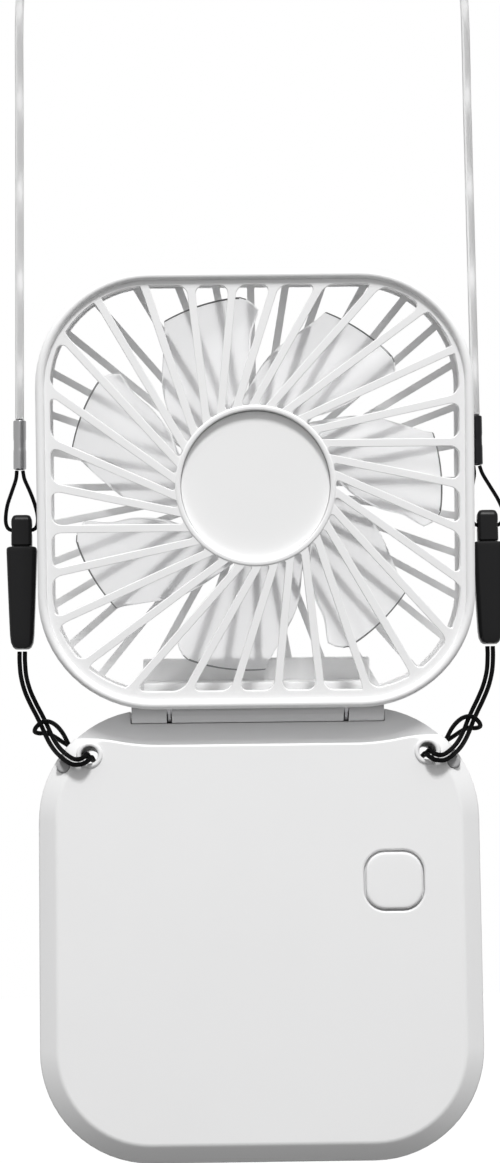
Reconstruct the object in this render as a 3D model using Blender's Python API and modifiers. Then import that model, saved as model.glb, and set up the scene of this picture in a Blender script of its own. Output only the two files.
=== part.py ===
"""Folding neck fan on a lanyard: a square fan head hinged to a battery base.

The fan hangs by its neck cord. The origin is the underside of the cord's arch, where it lies
on the wearer's neck, +Z is up and the front faces -Y. The base hangs plumb, and the head
leans a little forward of flat.

Three frames carry the pieces:
- base_frame: x from the middle, y back from the base's front face, z up from the fold axis
- fold_axis: the hinge's own axis, turned by the head's lean
- head_frame: x and z from the middle of the head's outline, y back from the crest of its lip
"""

import math

import bmesh
import bpy
from mathutils import Matrix, Vector

MM = 0.001

# Clearances and mesh steps
SEAM = 0.3 * MM
RUNNING_GAP = 0.08 * MM
OVERRUN = 1.0 * MM
EMBED = 0.6 * MM
CORNER_STEPS = 5
ROUND_STEPS = 36
INNER_STEPS = 20
SMALL_STEPS = 12
TINY_STEPS = 8
SCREW_STEPS = 6
SMOOTH_ANGLE = math.radians(35)

# The width that the head and the base share, and how far the head's sides step in from it
BODY_WIDTH = 100.0 * MM
HEAD_SIDE_STEP = 0.4 * MM

# How it hangs: the neck cord's arch, straight runs and the plane that the lanyard lies in
ARCH_HEIGHT = 45.0 * MM
CORD_TOP_HEIGHT = 166.0 * MM
NECK_CORD_RADIUS = 1.0 * MM
STRAP_DEPTH = 11.7 * MM
FOLD_DROP = ARCH_HEIGHT + CORD_TOP_HEIGHT - NECK_CORD_RADIUS

# Fold hinge: its axis lies between head and base, behind their front faces
REST_LEAN = math.radians(10)
FOLD_INSET = 6.8 * MM
FOLD_CLEARANCE = 0.25 * MM
BARREL_RADIUS = 3.4 * MM
BARREL_RELIEF = 0.4 * MM
BARREL_HALF_LENGTH = 19.6 * MM
WASHER_THICKNESS = 0.6 * MM
WASHER_INSET = 0.3 * MM
KNUCKLE_LENGTH = 8.0 * MM
PIN_RADIUS = 1.5 * MM
PIN_END_INSET = 0.8 * MM
LEAF_HALF_WIDTH = 17.0 * MM
LEAF_THICKNESS = 1.1 * MM
LEAF_DROP = 16.0 * MM
LEAF_TOP_DROP = 0.5 * MM
LEAF_SCREW_X = 10.0 * MM
LEAF_SCREW_DROP = 13.2 * MM

# Head outline and front grille
HEAD_WIDTH = BODY_WIDTH - 2 * HEAD_SIDE_STEP
HEAD_HEIGHT = 99.2 * MM
HEAD_CORNER = 26.0 * MM
HEAD_DEPTH = 20.0 * MM
LIP_WIDTH = 2.1 * MM
LIP_RISE = 1.2 * MM
LIP_ROUND = 0.4 * MM
RIM_WIDTH = 3.3 * MM
GRILLE_PLATE = 3.0 * MM
BEZEL_DEPTH = 7.85 * MM
BEZEL_WALL = 2.4 * MM
TONGUE_LENGTH = 1.4 * MM
TONGUE_STEP = 1.6 * MM
BAR_COUNT = 30
BAR_WIDTH = 1.5 * MM
BAR_THICKNESS = 2.3 * MM
BAR_SINK = 0.1 * MM
BAR_TANGENT_RADIUS = 9.4 * MM
HUB_RISE = 1.0 * MM
HUB_RING_RADIUS = 18.3 * MM
HUB_RING_WALL = 1.3 * MM
HUB_RING_RISE = 0.2 * MM
HUB_PLATE = 1.2 * MM
HUB_PLATE_DEPTH = 4.0 * MM
CAP_RECESS = 1.5 * MM
CAP_THICKNESS = 1.2 * MM
CAP_GAP = 0.15 * MM
CAP_ROUND = 0.3 * MM

# Head rear shell
SHELL_STEP = 0.25 * MM
SHELL_SIDE_INSET = 0.7 * MM
SHELL_WALL = 1.6 * MM
SHELL_EDGE_ROUND = 1.5 * MM
SHELL_EDGE_INSET = 1.1 * MM
REBATE_LIP = 1.3 * MM
REAR_BAR_COUNT = 36
REAR_BAR_TURN = math.radians(0.5)
REAR_BAR_WIDTH = 1.25 * MM
REAR_BAR_THICKNESS = 1.4 * MM
REAR_BAR_SINK = 0.4 * MM
REAR_HUB_RADIUS = 18.5 * MM
REAR_HUB_THICKNESS = 3.4 * MM
REAR_HUB_SINK = 0.2 * MM
REAR_HUB_ROUND = 0.8 * MM
BLOCK_HALF_WIDTH = 26.0 * MM
BLOCK_HEIGHT = 3.9 * MM
BLOCK_START = 9.6 * MM
HINGE_PLATE_HEIGHT = 11.2 * MM
HINGE_PLATE_THICKNESS = 2.6 * MM
HEAD_SCREW_X = 15.0 * MM

# Impeller
BLADE_COUNT = 7
BLADE_TURN = math.radians(345.5)
BLADE_TIP_GAP = 6.6 * MM
BLADE_RADIUS = min(HEAD_WIDTH, HEAD_HEIGHT) / 2 - BLADE_TIP_GAP
BLADE_THICKNESS = 1.0 * MM
BLADE_FRONT = 6.4 * MM
BLADE_BACK = 15.0 * MM
BLADE_ROOT_FRONT = 7.2 * MM
BLADE_ROOT_BACK = 13.8 * MM
BLADE_COLUMNS = 4
BLADE_CURL = 1.3
# Each row: share of the way from root to tip, and the angles of its two edges in degrees
BLADE_ROW_SHARES = [(0.0, 22, 66), (0.24, 9, 55), (0.5, 3.5, 46), (0.76, 2.5, 36), (1.0, 0, 30)]
ROTOR_HUB_RADIUS = 17.0 * MM
ROTOR_HUB_WALL = 1.5 * MM
ROTOR_HUB_FRONT = 6.0 * MM
ROTOR_HUB_BACK = 14.4 * MM
ROTOR_HUB_ROUND = 1.0 * MM
BLADE_ROOT = ROTOR_HUB_RADIUS - EMBED

# Motor
CAN_WALL = 0.8 * MM
CAN_BACK = 14.0 * MM
MAGNET_WALL = 1.3 * MM
MAGNET_FRONT = 9.0 * MM
MAGNET_BACK = 13.6 * MM
AIR_GAP = 0.5 * MM
CORE_FRONT = 9.7 * MM
CORE_BACK = 13.0 * MM
CORE_TEETH = 9
CORE_TOOTH_WIDTH = 2.0 * MM
CORE_SHOE = 1.2 * MM
CORE_RING = 7.0 * MM
CORE_BORE = 4.7 * MM
WINDING_OVERHANG = 0.5 * MM
WINDING_THICKNESS = 0.9 * MM
SHAFT_RADIUS = 1.0 * MM
SHAFT_FRONT = 8.0 * MM
SHAFT_BACK = 17.2 * MM
BEARING_RADIUS = 3.0 * MM
BEARING_LENGTH = 2.5 * MM
BEARING_FRONT = 9.4 * MM
TUBE_WALL = 1.0 * MM
TUBE_FRONT = 9.2 * MM
BOARD_RADIUS = 12.5 * MM
BOARD_THICKNESS = 1.0 * MM
MOTOR_BOARD_FRONT = 14.9 * MM
LEAD_WIDTH = 1.2 * MM
LEAD_THICKNESS = 0.6 * MM
LEAD_FRONT = 17.0 * MM

# Base outline and covers
BASE_WIDTH = BODY_WIDTH
BASE_HEIGHT = 102.2 * MM
BASE_DEPTH = 15.0 * MM
BASE_TOP_CORNER = 25.5 * MM
BASE_BOTTOM_CORNER = 25.0 * MM
BASE_WALL = 1.8 * MM
CHAMFER_WIDTH = 3.8 * MM
CHAMFER_DEPTH = 3.2 * MM
CHAMFER_ROUND = 0.4 * MM
FRONT_COVER_DEPTH = 8.6 * MM
COVER_TONGUE_STEP = 1.0 * MM
COVER_TONGUE = 1.2 * MM
COVER_REBATE_LIP = 0.7 * MM
BACK_ROUND_START = 12.0 * MM
BACK_ROUND_MID = 0.9 * MM
BACK_ROUND_INSET = 3.0 * MM
RECESS_DROP = 8.85 * MM
RECESS_WING_DROP = 7.0 * MM
RECESS_FLAT_INSET = 22.5 * MM
RECESS_WING_INSET = 14.0 * MM
RECESS_FLAT_HALF = BASE_WIDTH / 2 - RECESS_FLAT_INSET
RECESS_WING_HALF = BASE_WIDTH / 2 - RECESS_WING_INSET
RECESS_BACK = 7.1 * MM
LEDGE_THICKNESS = 1.8 * MM

# Lanyard eyes and bumpers
EYE_INSET = 11.7 * MM
EYE_X = BASE_WIDTH / 2 - EYE_INSET
EYE_DROP = 11.0 * MM
EYE_RADIUS = 1.9 * MM
EYE_WALL = 1.1 * MM
EYE_RISE = 0.5 * MM
BUMPER_INSET = 5.7 * MM
BUMPER_X = BASE_WIDTH / 2 - BUMPER_INSET
BUMPER_DROP = 13.4 * MM
BUMPER_RADIUS = 1.5 * MM
BUMPER_FRONT = 0.4 * MM
BUMPER_DEPTH = 3.3 * MM

# Power button and its switch
BUTTON_INSET = 19.8 * MM
BUTTON_X = BASE_WIDTH / 2 - BUTTON_INSET
BUTTON_DROP = 40.1 * MM
BUTTON_WIDTH = 13.1 * MM
BUTTON_HEIGHT = 13.1 * MM
BUTTON_CORNER = 4.3 * MM
BUTTON_GAP = 0.5 * MM
BUTTON_RISE = 0.35 * MM
BUTTON_EDGE = 0.5 * MM
BUTTON_FLANGE = 1.0 * MM
BUTTON_FLANGE_THICKNESS = 0.8 * MM
BUTTON_TRAVEL = 0.4 * MM
BUTTON_STEM_RADIUS = 1.6 * MM
BUTTON_STEM = 2.2 * MM
PLUNGER_RADIUS = 1.2 * MM
PLUNGER_LENGTH = 1.7 * MM
SWITCH_SIZE = 5.2 * MM
SWITCH_FRONT = 6.3 * MM
SWITCH_THICKNESS = 2.3 * MM
SWITCH_BORE_DEPTH = 1.6 * MM

# Inside the base
INNER_SIDE_GAP = 8.0 * MM
CONTROL_BOARD_LEFT = 12.0 * MM
CONTROL_BOARD_WIDTH = BASE_WIDTH / 2 - INNER_SIDE_GAP - CONTROL_BOARD_LEFT
CONTROL_BOARD_DROP = 26.0 * MM
CONTROL_BOARD_LOW_GAP = 22.2 * MM
CONTROL_BOARD_HEIGHT = BASE_HEIGHT - CONTROL_BOARD_DROP - CONTROL_BOARD_LOW_GAP
BATTERY_RIGHT = 6.0 * MM
BATTERY_LEFT = INNER_SIDE_GAP - BASE_WIDTH / 2
BATTERY_WIDTH = BATTERY_RIGHT - BATTERY_LEFT
BATTERY_DROP = 24.0 * MM
BATTERY_LOW_GAP = 18.2 * MM
BATTERY_HEIGHT = BASE_HEIGHT - BATTERY_DROP - BATTERY_LOW_GAP
BATTERY_FRONT = 3.2 * MM
BATTERY_THICKNESS = 7.8 * MM
BATTERY_ROUND = 2.5 * MM
PAD_MARGIN = 6.0 * MM
CHARGE_BOARD_HALF = 9.0 * MM
CHARGE_BOARD_HEIGHT = 12.6 * MM
CHARGE_BOARD_INSET = 2.65 * MM
CHARGE_BOARD_DROP = FOLD_CLEARANCE + BASE_HEIGHT - CHARGE_BOARD_INSET - CHARGE_BOARD_HEIGHT
CHARGE_BOARD_FRONT = 8.2 * MM
SOCKET_WIDTH = 8.9 * MM
SOCKET_THICKNESS = 3.2 * MM
SOCKET_LENGTH = 7.4 * MM
SOCKET_WALL = 0.35 * MM
SOCKET_INSET = 0.2 * MM
SOCKET_FLOOR = 1.0 * MM
TONGUE_WIDTH = 6.6 * MM
TONGUE_THICKNESS = 0.7 * MM
TONGUE_REACH = 4.4 * MM
WIRE_RADIUS = 0.6 * MM
WIRE_SPACING = 2.6 * MM
WIRE_STUB = 1.6 * MM

# Screws and their posts
SCREW_HEAD_RADIUS = 1.6 * MM
SCREW_HEAD_HEIGHT = 0.8 * MM
SCREW_RADIUS = 0.8 * MM
SCREW_HOLE_RADIUS = 1.1 * MM
POST_RADIUS = 2.5 * MM
SCREW_END_DEPTH = 12.4 * MM
CASE_SCREW_INSET = 12.0 * MM
CASE_SCREW_LOW_INSET = 12.8 * MM
CASE_SCREW_X = BASE_WIDTH / 2 - CASE_SCREW_INSET
CASE_SCREW_TOP_DROP = 19.5 * MM
CASE_SCREW_BOTTOM_DROP = FOLD_CLEARANCE + BASE_HEIGHT - CASE_SCREW_LOW_INSET
CASE_SCREW_HEAD_DEPTH = 12.6 * MM
CASE_SCREW_TIP = 4.2 * MM
COUNTERBORE_GAP = 0.3 * MM
BOARD_SCREW_INSET = 4.0 * MM
CHARGE_SCREW_X = 6.5 * MM
CHARGE_SCREW_INSET = 3.0 * MM
CHARGE_SCREW_DROP = CHARGE_BOARD_DROP + CHARGE_SCREW_INSET

# Lanyard hardware
CLIP_SIDE_GAP = 4.1 * MM
CLIP_X = BODY_WIDTH / 2 + CLIP_SIDE_GAP
FERRULE_LEFT_SHIFT = 0.4 * MM
FERRULE_RIGHT_SHIFT = -2.2 * MM
FERRULE_RADIUS = 1.5 * MM
FERRULE_LOW = 56.5 * MM
FERRULE_LENGTH = 11.5 * MM
FERRULE_ROUND = 0.3 * MM
CRIMP_DEPTH = 0.2 * MM
CRIMP_WIDTH = 1.6 * MM
STRING_RADIUS = 0.45 * MM
CLIP_JOINT_HEIGHT = 38.2 * MM
PLUG_HALF_WIDTH = 2.4 * MM
PLUG_HALF_THICKNESS = 1.9 * MM
PLUG_HEIGHT = 7.5 * MM
PLUG_ROUND = 0.9 * MM
PLUG_SHOULDER = 1.2 * MM
PLUG_SHOULDER_HALF = 1.9 * MM
PLUG_EYE_DROP = 3.5 * MM
PLUG_EYE_RADIUS = 1.15 * MM
PRONG_HALF_WIDTH = 1.8 * MM
PRONG_HALF_THICKNESS = 1.2 * MM
PRONG_LENGTH = 6.5 * MM
SOCKET_TOP_HALF_WIDTH = 3.55 * MM
SOCKET_LOW_HALF_WIDTH = 2.75 * MM
SOCKET_END_HALF_WIDTH = 1.8 * MM
SOCKET_HALF_THICKNESS = 2.3 * MM
SOCKET_END_HALF_THICKNESS = 1.3 * MM
SLEEVE_LENGTH = 23.7 * MM
SLEEVE_TOP_ROUND = 0.6 * MM
SLEEVE_END_TAPER = 2.2 * MM
SLEEVE_CORNER = 1.1 * MM
CLIP_CORNER_STEPS = 3

# Free cords: routes chosen by hand, in millimetres, in the base's frame
HITCH_RADIUS = 0.45 * MM
HITCH_STRAND_OFFSET = 0.62 * MM
CORD_POINT_SPACING = 2.7 * MM
NECK_POINT_SPACING = 8.0 * MM
NECK_TOP_LEFT_SHIFT = 0.1 * MM
NECK_TOP_RIGHT_SHIFT = -2.6 * MM
ARCH_STEPS = 8

# The string's loop, sideways from the clip's middle: it leaves the ferrule, passes the plug's
# eye and comes back. Above the plug it leans towards its own ferrule
STRING_LEAN_START = 45.6
STRING_LEAN_END = 56.2
STRING_ROUTE = [
    (0.7, 11.7, 56.2), (1.0, 11.7, 54.2), (2.1, 11.7, 51.2), (3.2, 11.7, 48.2),
    (3.7, 11.7, 45.6), (3.65, 11.7, 43.8), (3.1, 11.7, 42.6), (1.9, 11.7, 42.15),
    (0, 11.7, 42.1), (-1.9, 11.7, 42.15), (-3.1, 11.7, 42.6), (-3.65, 11.7, 43.8),
    (-3.65, 11.7, 45.6), (-3.1, 11.7, 48.4), (-2.1, 11.7, 51.4), (-1.0, 11.7, 54.2),
    (-0.7, 11.7, 56.2),
]

# The doubled cord, on the right: the middle of its two strands and the side that they part to,
# from the clip down, round the front of the base's corner, through the eye and out behind. It is
# drawn for a body 100 mm wide and moves sideways with the body's edge
ROUTE_HALF_WIDTH = 50.0 * MM
HITCH_SPINE = [
    ((54.1, 11.7, 13.9), (1, 0, 0)),
    ((54.1, 11.7, 11.6), (1, 0, 0)),
    ((53.8, 11.5, 8.2), (1, 0, 0)),
    ((52.9, 11.1, 4.8), (0.98, 0, -0.2)),
    ((51.5, 10.4, 1.6), (0.96, 0, -0.28)),
    ((50.0, 9.5, -1.3), (0.95, 0, -0.3)),
    ((48.8, 8.5, -3.8), (0.95, 0, -0.3)),
    ((47.8, 6.8, -6.0), (0.92, 0, -0.38)),
    ((46.7, 4.6, -8.0), (0.88, 0, -0.47)),
    ((45.3, 1.7, -9.9), (0.8, 0, -0.6)),
    ((43.5, -0.8, -11.6), (0.6, 0, -0.8)),
    ((41.8, -1.9, -12.6), (0.2, 0, -0.98)),
    ((40.1, -2.4, -12.6), (-0.35, 0, -0.94)),
    ((38.9, -1.9, -11.9), (-0.8, 0, -0.6)),
    ((38.4, -0.3, -11.2), (-0.8, 0, -0.6)),
    ((38.3, 2.6, -11.0), (-0.8, 0, -0.6)),
    ((38.3, 7.5, -11.0), (-0.8, 0, -0.6)),
    ((38.3, 12.4, -11.0), (-0.8, 0, -0.6)),
    ((38.4, 15.2, -10.9), (-0.78, 0.18, -0.6)),
    ((39.4, 17.1, -10.3), (-0.5, 0.75, -0.4)),
    ((41.3, 17.5, -9.2), (0, 1, 0)),
    ((43.3, 16.6, -7.9), (0, 1, 0)),
]

# The bight that joins the two strands behind and closes round the hanging pair
HITCH_BIGHT = [
    (45.3, 15.3, -6.7), (47.1, 12.9, -5.6), (48.6, 10.9, -5.0), (50.0, 9.8, -5.2),
    (51.1, 8.5, -4.9), (50.7, 7.0, -4.0), (49.4, 6.7, -2.9), (47.8, 7.6, -2.7),
    (46.3, 9.9, -3.4), (44.9, 12.9, -5.0),
]


def clear_scene():
    for thing in list(bpy.data.objects):
        bpy.data.objects.remove(thing, do_unlink=True)


def make_collection(name, hidden):
    group = bpy.data.collections.new(name)
    bpy.context.scene.collection.children.link(group)
    group.hide_render = hidden
    return group


def make_material(name, colour, roughness, metallic=0.0):
    material = bpy.data.materials.new(name)
    material.use_nodes = True
    shader = material.node_tree.nodes["Principled BSDF"]
    shader.inputs["Base Color"].default_value = (*colour, 1.0)
    shader.inputs["Roughness"].default_value = roughness
    shader.inputs["Metallic"].default_value = metallic
    material.diffuse_color = (*colour, 1.0)
    return material


clear_scene()
PARTS = make_collection("neck_fan", False)
TOOLS = make_collection("cutters", True)

WHITE = make_material("white_plastic", (0.86, 0.86, 0.87), 0.35)
DISC_WHITE = make_material("disc_plastic", (0.82, 0.82, 0.82), 0.4)
BLADE = make_material("blade_plastic", (0.80, 0.80, 0.81), 0.3)
RUBBER = make_material("grey_rubber", (0.42, 0.42, 0.43), 0.8)
BLACK = make_material("black_plastic", (0.02, 0.02, 0.022), 0.35)
BLACK_STRING = make_material("black_string", (0.012, 0.012, 0.014), 0.6)
WHITE_CORD = make_material("white_cord", (0.83, 0.83, 0.83), 0.7)
STEEL = make_material("steel", (0.62, 0.62, 0.64), 0.3, 1.0)
DARK_STEEL = make_material("dark_steel", (0.2, 0.2, 0.21), 0.4, 1.0)
MAGNET = make_material("magnet", (0.08, 0.08, 0.09), 0.6)
COPPER = make_material("copper_wire", (0.72, 0.35, 0.18), 0.35, 1.0)
BRASS = make_material("brass", (0.75, 0.58, 0.28), 0.35, 1.0)
BOARD = make_material("circuit_board", (0.05, 0.22, 0.12), 0.5)
CELL = make_material("battery_wrap", (0.45, 0.47, 0.5), 0.35)
FOAM = make_material("foam", (0.1, 0.1, 0.1), 0.9)
WIRE_SLEEVE = make_material("wire_sleeve", (0.75, 0.08, 0.06), 0.5)


# Frames


def make_frame(name, location, parent=None, lean=0.0):
    frame = bpy.data.objects.new(name, None)
    PARTS.objects.link(frame)
    frame.parent = parent
    frame.location = location
    frame.rotation_euler = (lean, 0, 0)
    return frame


BASE_FRAME = make_frame("base_frame", (0, -STRAP_DEPTH, -FOLD_DROP))
FOLD_AXIS = make_frame("fold_axis", (0, FOLD_INSET, 0), BASE_FRAME, REST_LEAN)
HEAD_FRAME = make_frame(
    "head_frame", (0, -FOLD_INSET, FOLD_CLEARANCE + HEAD_HEIGHT / 2), FOLD_AXIS
)
IMPELLER_AXIS = make_frame("impeller_axis", (0, 0, HUB_RISE), HEAD_FRAME)
BUTTON_AXIS = make_frame("button_axis", (BUTTON_X, 0, -BUTTON_DROP), BASE_FRAME)


# Modelling helpers


def add_object(name, data, parent, material, tool=False):
    made = bpy.data.objects.new(name, data)
    (TOOLS if tool else PARTS).objects.link(made)
    made.parent = parent
    if tool:
        made.hide_render = True
        made.display_type = "WIRE"
    if material:
        data.materials.append(material)
    return made


def finish(bm, name, parent, material, tool=False):
    """Turns a bmesh of closed shapes into an object, smooth where it is round."""
    bmesh.ops.recalc_face_normals(bm, faces=bm.faces)
    mesh = bpy.data.meshes.new(name)
    bm.to_mesh(mesh)
    bm.free()
    mesh.shade_smooth()
    mesh.set_sharp_from_angle(angle=SMOOTH_ANGLE)
    return add_object(name, mesh, parent, material, tool)


def combine(target, tool, operation):
    modifier = target.modifiers.new(operation.lower(), "BOOLEAN")
    modifier.operation = operation
    modifier.object = tool
    modifier.solver = "EXACT"


def cut(target, tool):
    combine(target, tool, "DIFFERENCE")


def join(target, tool):
    combine(target, tool, "UNION")


def add_box(bm, low, high):
    low, high = Vector(low), Vector(high)
    size = high - low
    place = Matrix.Translation((low + high) / 2) @ Matrix.Diagonal((*size, 1))
    bmesh.ops.create_cube(bm, size=1, matrix=place)


def add_cylinder(bm, radius, start, end, steps=SMALL_STEPS):
    start, end = Vector(start), Vector(end)
    along = end - start
    turn = along.to_track_quat("Z", "Y").to_matrix().to_4x4()
    place = Matrix.Translation((start + end) / 2) @ turn
    bmesh.ops.create_cone(
        bm, cap_ends=True, segments=steps, radius1=radius, radius2=radius,
        depth=along.length, matrix=place,
    )


def add_loft(bm, rings, closed=False):
    """Skins rings that have the same number of points; open ends are capped."""
    made = [[bm.verts.new(point) for point in ring] for ring in rings]
    pairs = list(zip(made, made[1:]))
    if closed:
        pairs.append((made[-1], made[0]))
    else:
        bm.faces.new(made[0])
        bm.faces.new(made[-1])
    for first, second in pairs:
        for i in range(len(first)):
            j = (i + 1) % len(first)
            bm.faces.new((first[i], first[j], second[j], second[i]))


def rounded_outline(half_width, half_height, top_radius, bottom_radius, steps=CORNER_STEPS):
    """The points of a rectangle with round corners, once round its middle."""
    points = []
    corners = [(1, 1, top_radius, 0), (-1, 1, top_radius, 90),
               (-1, -1, bottom_radius, 180), (1, -1, bottom_radius, 270)]
    for side, upper, radius, start in corners:
        for step in range(steps + 1):
            angle = math.radians(start + 90 * step / steps)
            points.append((
                side * (half_width - radius) + radius * math.cos(angle),
                upper * (half_height - radius) + radius * math.sin(angle),
            ))
    return points


def head_ring(inset, depth):
    """The head's outline moved in by inset, at a depth behind the lip."""
    outline = rounded_outline(
        HEAD_WIDTH / 2 - inset, HEAD_HEIGHT / 2 - inset, HEAD_CORNER - inset, HEAD_CORNER - inset
    )
    return [(x, depth, z) for x, z in outline]


def base_ring(inset, depth):
    """The base's outline moved in by inset, at a depth behind its front face."""
    middle = -FOLD_CLEARANCE - BASE_HEIGHT / 2
    outline = rounded_outline(
        BASE_WIDTH / 2 - inset, BASE_HEIGHT / 2 - inset,
        BASE_TOP_CORNER - inset, BASE_BOTTOM_CORNER - inset,
    )
    return [(x, depth, middle + z) for x, z in outline]


def turned(name, profile, parent, material, tool=False, closed=False, steps=ROUND_STEPS):
    """Spins a profile of (radius, depth) round the Y axis. It runs from front to back on the
    outer side; a closed profile is a ring's section."""
    mesh = bpy.data.meshes.new(name)
    bm = bmesh.new()
    line = [bm.verts.new((radius, 0, -depth)) for radius, depth in profile]
    ends = list(zip(line, line[1:]))
    if closed:
        ends.append((line[-1], line[0]))
    for first, second in ends:
        bm.edges.new((first, second))
    bm.to_mesh(mesh)
    bm.free()
    made = add_object(name, mesh, parent, material, tool)
    made.rotation_euler = (math.radians(90), 0, 0)
    spin = made.modifiers.new("turn", "SCREW")
    spin.axis = "Z"
    spin.angle = math.radians(360)
    spin.steps = steps
    spin.render_steps = steps
    spin.use_merge_vertices = True
    spin.merge_threshold = 0.01 * MM
    spin.use_smooth_shade = True
    return made


def smooth_curve(points, spacing):
    """Points about spacing apart on a smooth curve through the route's own points."""
    points = [Vector(point) for point in points]
    padded = [2 * points[0] - points[1], *points, 2 * points[-1] - points[-2]]
    fine = [points[0]]
    for before, start, end, after in zip(padded, padded[1:], padded[2:], padded[3:]):
        for step in range(1, 21):
            t = step / 20
            fine.append(0.5 * (
                2 * start + (end - before) * t
                + (2 * before - 5 * start + 4 * end - after) * t * t
                + (3 * start - before - 3 * end + after) * t * t * t
            ))
    travelled = [0.0]
    for start, end in zip(fine, fine[1:]):
        travelled.append(travelled[-1] + (end - start).length)
    count = max(2, round(travelled[-1] / spacing))
    spaced = []
    index = 0
    for step in range(count + 1):
        wanted = travelled[-1] * step / count
        while index < len(fine) - 2 and travelled[index + 1] < wanted:
            index += 1
        length = travelled[index + 1] - travelled[index]
        share = min(1.0, (wanted - travelled[index]) / length)
        spaced.append(fine[index].lerp(fine[index + 1], share))
    return spaced


def tube(name, route, radius, parent, material, spacing):
    """A round cord along a smooth curve through its route's points."""
    data = bpy.data.curves.new(name, "CURVE")
    data.dimensions = "3D"
    data.bevel_depth = radius
    data.bevel_resolution = 2
    data.use_fill_caps = True
    points = smooth_curve(route, spacing)
    spline = data.splines.new("POLY")
    spline.points.add(len(points) - 1)
    for place, point in zip(spline.points, points):
        place.co = (*point, 1)
    return add_object(name, data, parent, material)


def ring_along_y(x, z, radius, depth, steps):
    angles = [2 * math.pi * step / steps for step in range(steps)]
    return [(x + radius * math.cos(a), depth, z + radius * math.sin(a)) for a in angles]


def string_route(side, shift):
    """The string's loop on one side, leaning from the plug to a ferrule that is shifted out."""
    points = []
    for x, y, z in STRING_ROUTE:
        share = (z - STRING_LEAN_START) / (STRING_LEAN_END - STRING_LEAN_START)
        out = CLIP_X + x * MM + max(0, share) * shift
        points.append((side * out, y * MM, z * MM))
    return points


# Fan head


def bar_reach(offset, angle, half_width, half_height, corner):
    """How far a line runs from its foot, offset from the hub's centre, to the outline."""
    along = Vector((math.cos(angle), math.sin(angle)))
    foot = offset * Vector((-math.sin(angle), math.cos(angle))) + Vector((0, HUB_RISE))
    low, high = 0.0, half_width + half_height
    for _ in range(40):
        middle = (low + high) / 2
        point = foot + middle * along
        past = Vector((
            max(abs(point.x) - half_width + corner, 0), max(abs(point.y) - half_height + corner, 0)
        ))
        if past.length < corner:
            low = middle
        else:
            high = middle
    return low


def add_bar(bm, offset, angle, start, end, width, front, back):
    """A straight bar from start to end along a line that passes the hub at an offset."""
    middle = offset * Vector((-math.sin(angle), math.cos(angle)))
    middle += (start + end) / 2 * Vector((math.cos(angle), math.sin(angle)))
    place = Matrix.Translation((middle.x, (front + back) / 2, middle.y + HUB_RISE))
    place = place @ Matrix.Rotation(-angle, 4, "Y")
    place = place @ Matrix.Diagonal((end - start, back - front, width, 1))
    bmesh.ops.create_cube(bm, size=1, matrix=place)


def fold_cylinder(name, radius, half_length, start=None):
    """A cutter or a solid round the fold axis, in the head's frame."""
    bm = bmesh.new()
    z = -HEAD_HEIGHT / 2 - FOLD_CLEARANCE
    begin = -half_length if start is None else start
    add_cylinder(bm, radius, (begin, FOLD_INSET, z), (half_length, FOLD_INSET, z), INNER_STEPS)
    return finish(bm, name, HEAD_FRAME, None, tool=True)


def knuckle_start():
    return BARREL_HALF_LENGTH + WASHER_THICKNESS + 2 * SEAM


def build_front_grille():
    face = LIP_RISE
    plate_back = LIP_RISE + GRILLE_PLATE
    bm = bmesh.new()
    add_loft(bm, [
        head_ring(0, BEZEL_DEPTH),
        head_ring(0, LIP_RISE),
        head_ring(LIP_ROUND, LIP_ROUND),
        head_ring(LIP_WIDTH / 2, 0),
        head_ring(LIP_WIDTH - LIP_ROUND, LIP_ROUND),
        head_ring(LIP_WIDTH, face),
        head_ring(RIM_WIDTH, face),
        head_ring(RIM_WIDTH, plate_back),
        head_ring(BEZEL_WALL, plate_back),
        head_ring(BEZEL_WALL, BEZEL_DEPTH + TONGUE_LENGTH),
        head_ring(TONGUE_STEP, BEZEL_DEPTH + TONGUE_LENGTH),
        head_ring(TONGUE_STEP, BEZEL_DEPTH),
    ], closed=True)
    grille = finish(bm, "front_grille", HEAD_FRAME, WHITE)

    bars = bmesh.new()
    ring_middle = HUB_RING_RADIUS - HUB_RING_WALL / 2
    start = math.sqrt(ring_middle ** 2 - BAR_TANGENT_RADIUS ** 2)
    inset = (RIM_WIDTH + LIP_ROUND) / 2
    for k in range(BAR_COUNT):
        angle = 2 * math.pi * k / BAR_COUNT
        end = bar_reach(BAR_TANGENT_RADIUS, angle, HEAD_WIDTH / 2 - inset, HEAD_HEIGHT / 2 - inset,
                        HEAD_CORNER - RIM_WIDTH / 2)
        add_bar(bars, BAR_TANGENT_RADIUS, angle, start, end, BAR_WIDTH,
                face + BAR_SINK, face + BAR_SINK + BAR_THICKNESS)
    bars = finish(bars, "grille_bars", HEAD_FRAME, None, tool=True)

    ring_front = face - HUB_RING_RISE
    inner = HUB_RING_RADIUS - HUB_RING_WALL
    ring = turned("grille_hub", [
        (inner + LIP_ROUND, ring_front),
        (HUB_RING_RADIUS - LIP_ROUND, ring_front),
        (HUB_RING_RADIUS, ring_front + LIP_ROUND),
        (HUB_RING_RADIUS, HUB_PLATE_DEPTH + HUB_PLATE),
        (0, HUB_PLATE_DEPTH + HUB_PLATE),
        (0, HUB_PLATE_DEPTH),
        (inner, HUB_PLATE_DEPTH),
        (inner, ring_front + LIP_ROUND),
    ], IMPELLER_AXIS, None, tool=True, closed=True)
    relief = fold_cylinder(
        "bezel_relief", BARREL_RADIUS + BARREL_RELIEF, knuckle_start() + KNUCKLE_LENGTH + SEAM
    )
    join(grille, bars)
    join(grille, ring)
    cut(grille, relief)


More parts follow.
